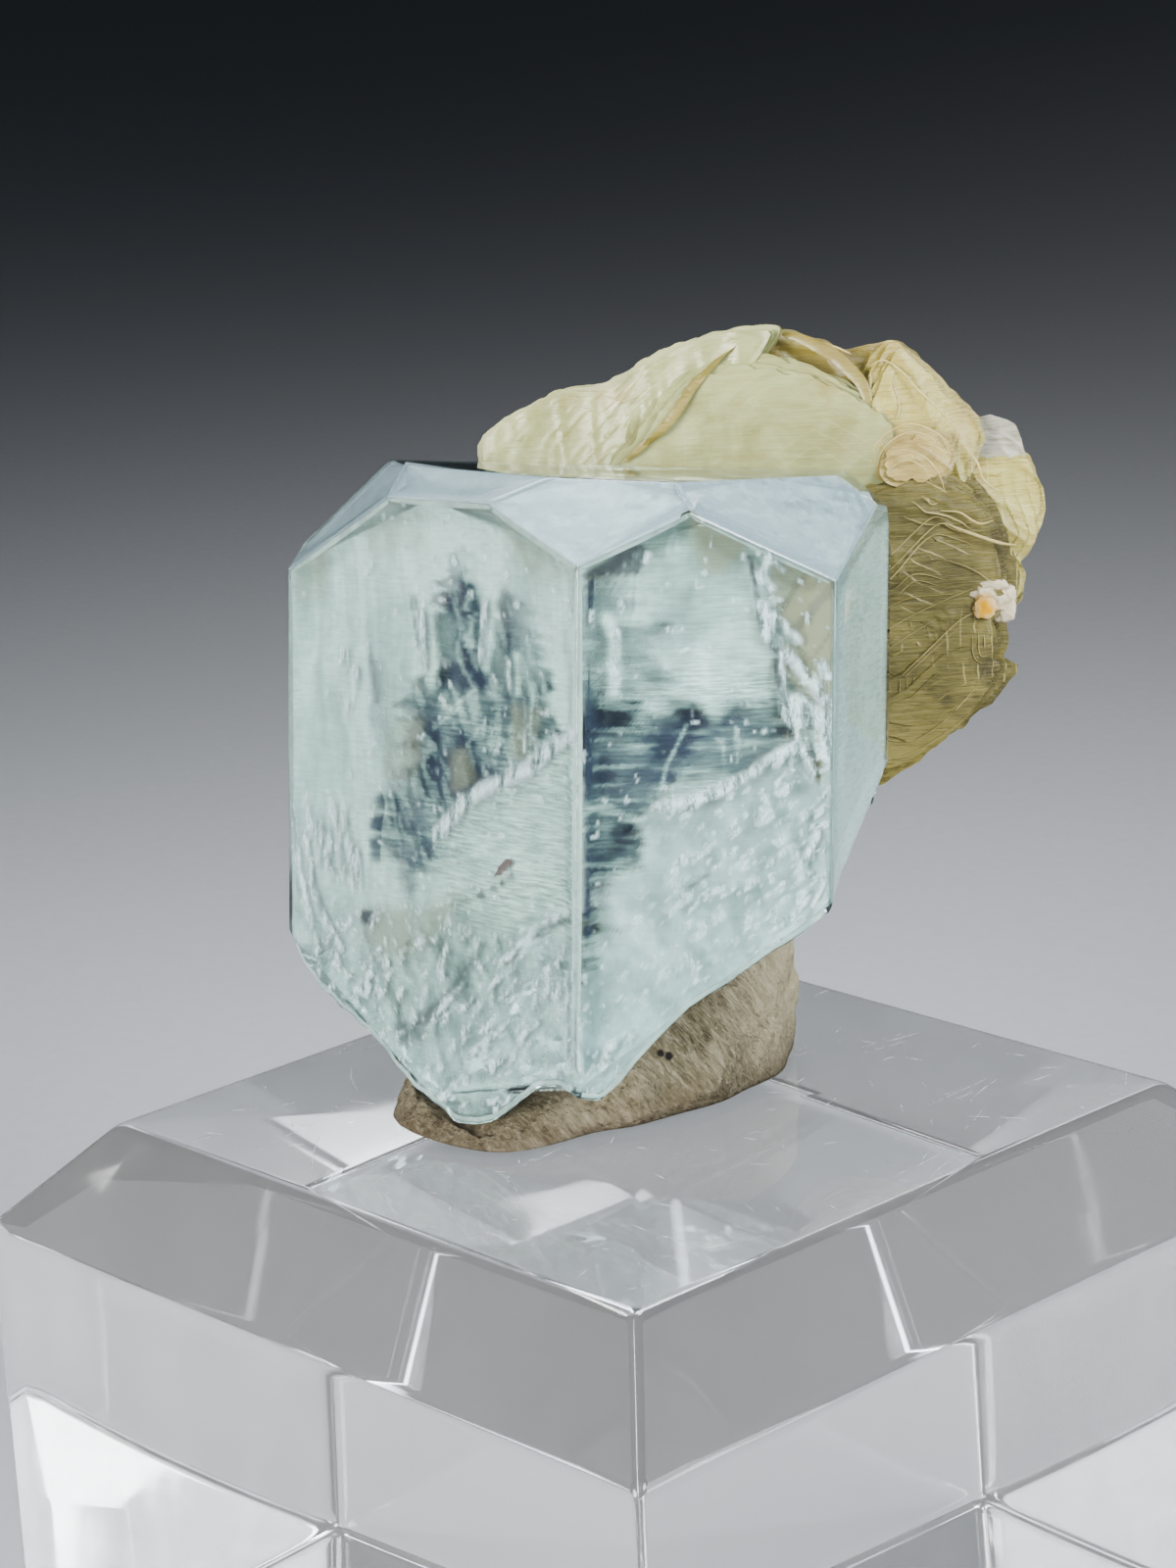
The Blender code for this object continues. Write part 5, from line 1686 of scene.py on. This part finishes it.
# %% Pale strips along the edges
pale, tree, shader, at = new_material("edge_light", Base_Color=rgb(186, 208, 202), Roughness=0.5)
feed(shader, Alpha=spread(noise_node(at, 0.8, 3.0), 0.35, 0.65, 0.40, 0.80))
EDGES = [
    # azimuth, corner, path of (across, depth, height) from that corner, half-width
    (-17, (0, 0, 0), [(0, 0.25, 0.4), (0, 0.25, 10.0), (0, 0.25, 20.1)], 0.17),
    (43, FRONT_WIDTH * FRONT_FACE[1], [(0, 0.25, 7.4), (0, 0.25, 13.0), (0, 0.25, 19.3)], 0.17),
    (-77, -17.0 * LEFT_FACE[1], [(0, 0.22, 9.0), (0, 0.22, 13.0), (0, 0.22, 18.8)], 0.20),
    (-47, (0, 0, 0), [(-16.7, 0.16, 19.15), (-13.8, 0.16, 20.7), (-10.9, 0.16, 22.22)], 0.14),
    (-47, (0, 0, 0), [(-10.7, 0.16, 22.3), (-7.9, 0.16, 22.3), (-5.0, 0.16, 22.3)], 0.12),
    (-47, (0, 0, 0), [(-4.8, 0.16, 22.2), (-2.4, 0.16, 21.2), (-0.2, 0.16, 20.28)], 0.14),
    (13, (0, 0, 0), [(0.2, 0.16, 20.28), (2.3, 0.16, 21.24), (4.3, 0.16, 22.16)], 0.12),
    (13, (0, 0, 0), [(4.5, 0.16, 22.14), (7.3, 0.16, 20.85), (10.0, 0.16, 19.58)], 0.12),
]
skins = []
for azimuth, corner, path, width in EDGES:
    frame_here = face_frame(azimuth, 90, corner)
    path = smooth_line(path, 16)
    side = frame_here[1] if abs(path[-1][2] - path[0][2]) > 5 and path[0][0] == 0 else frame_here[3]
    skins.append(tube(under(frame_here, path), tapered(len(path), width, 0.5), 0.015, heading(side), 8))
for face, reach in ((LEFT_FACE, (-16.6, -0.3)), (FRONT_FACE, (0.3, 9.9))):
    across = np.linspace(*reach, 70)
    foot = np.array([clear_height(face, x, 0.10, 14.5, -1) for x in across]) + 0.12
    path = np.stack([across, np.full(70, 0.10), foot], axis=1)
    skins.append(tube(under(face, path), 0.09, 0.015, heading(face[3]), 6))
add_piece("edge_strips", skins, pale, 60)

# %% Dark specks
soot, tree, shader, at = new_material("dark_inclusion", Roughness=0.5)
mottled = noise_node(at, 3.0, 4.0)
feed(shader, Base_Color=mixed(mottled, rgb(92, 78, 78), rgb(128, 112, 110)))
SPECKS = [
    ([(-4.62, 0.4, 8.10), (-4.45, 0.4, 8.25), (-4.0, 0.4, 8.62), (-3.78, 0.4, 8.70)],
     (0.05, 0.17, 0.17, 0.05)),
    ([(-4.78, 0.4, 8.02), (-4.66, 0.4, 8.10), (-4.56, 0.4, 8.16)], (0.02, 0.06, 0.02)),
    ([(-4.2, 0.4, 8.05), (-4.12, 0.4, 8.12), (-4.06, 0.4, 8.2)], (0.02, 0.05, 0.02)),
]
skins = [tube(under(LEFT_FACE, corners), widths, 0.02, LEFT_FACE[1], 4) for corners, widths in SPECKS]
add_piece("dark_specks", skins, soot, 10)

# %% [markdown]
# ## Scratches on the block
# Handling leaves short bright scratches on acrylic. Each is a very thin
# raised sliver of scuffed plastic: six points round a short curved path.
# They are scattered with a seeded generator, so every run gives the same.

# %% Scratches
scuff, tree, shader, at = new_material("scuffed_acrylic", Roughness=0.6, Base_Color=rgb(236, 238, 240))
feed(shader, Alpha=spread(noise_node(at, 2.0, 2.0), 0.40, 0.60, 0.15, 0.75))
SCRATCHES = 190
rng = np.random.default_rng(7)
skins = []
turn = math.radians(BLOCK_TURN)
across = np.array([math.cos(turn), math.sin(turn), 0])
away = np.array([-math.sin(turn), math.cos(turn), 0])
for k in range(SCRATCHES):
    spot = rng.uniform(-0.96, 0.96, 2) * (BLOCK_SIDE / 2 - BEVEL_IN)
    heading = rng.choice([0.35, 0.9, 2.2, 2.9]) + rng.normal(0, 0.35)
    length = rng.uniform(0.25, 1.1) if rng.random() < 0.85 else rng.uniform(1.5, 4.0)
    along = np.array([math.cos(heading), math.sin(heading)])
    bend = np.array([-along[1], along[0]]) * rng.normal(0, 0.06) * length
    run = np.linspace(-0.5, 0.5, 5)[:, None]
    flat = spot + run * length * along + (run ** 2 - 0.1) * bend * 2
    limit = BLOCK_SIDE / 2 - BEVEL_IN - 0.1
    flat = np.clip(flat, -limit, limit)
    path = flat[:, :1] * across + flat[:, 1:] * away + np.array([0, 0, BLOCK_HEIGHT + 0.006])
    width = rng.uniform(0.012, 0.03)
    skins.append(tube(path, tapered(5, width, 0.2), 0.004, np.cross(path[-1] - path[0], (0, 0, 1)), 6))
add_piece("block_scratches", skins, scuff, 60)
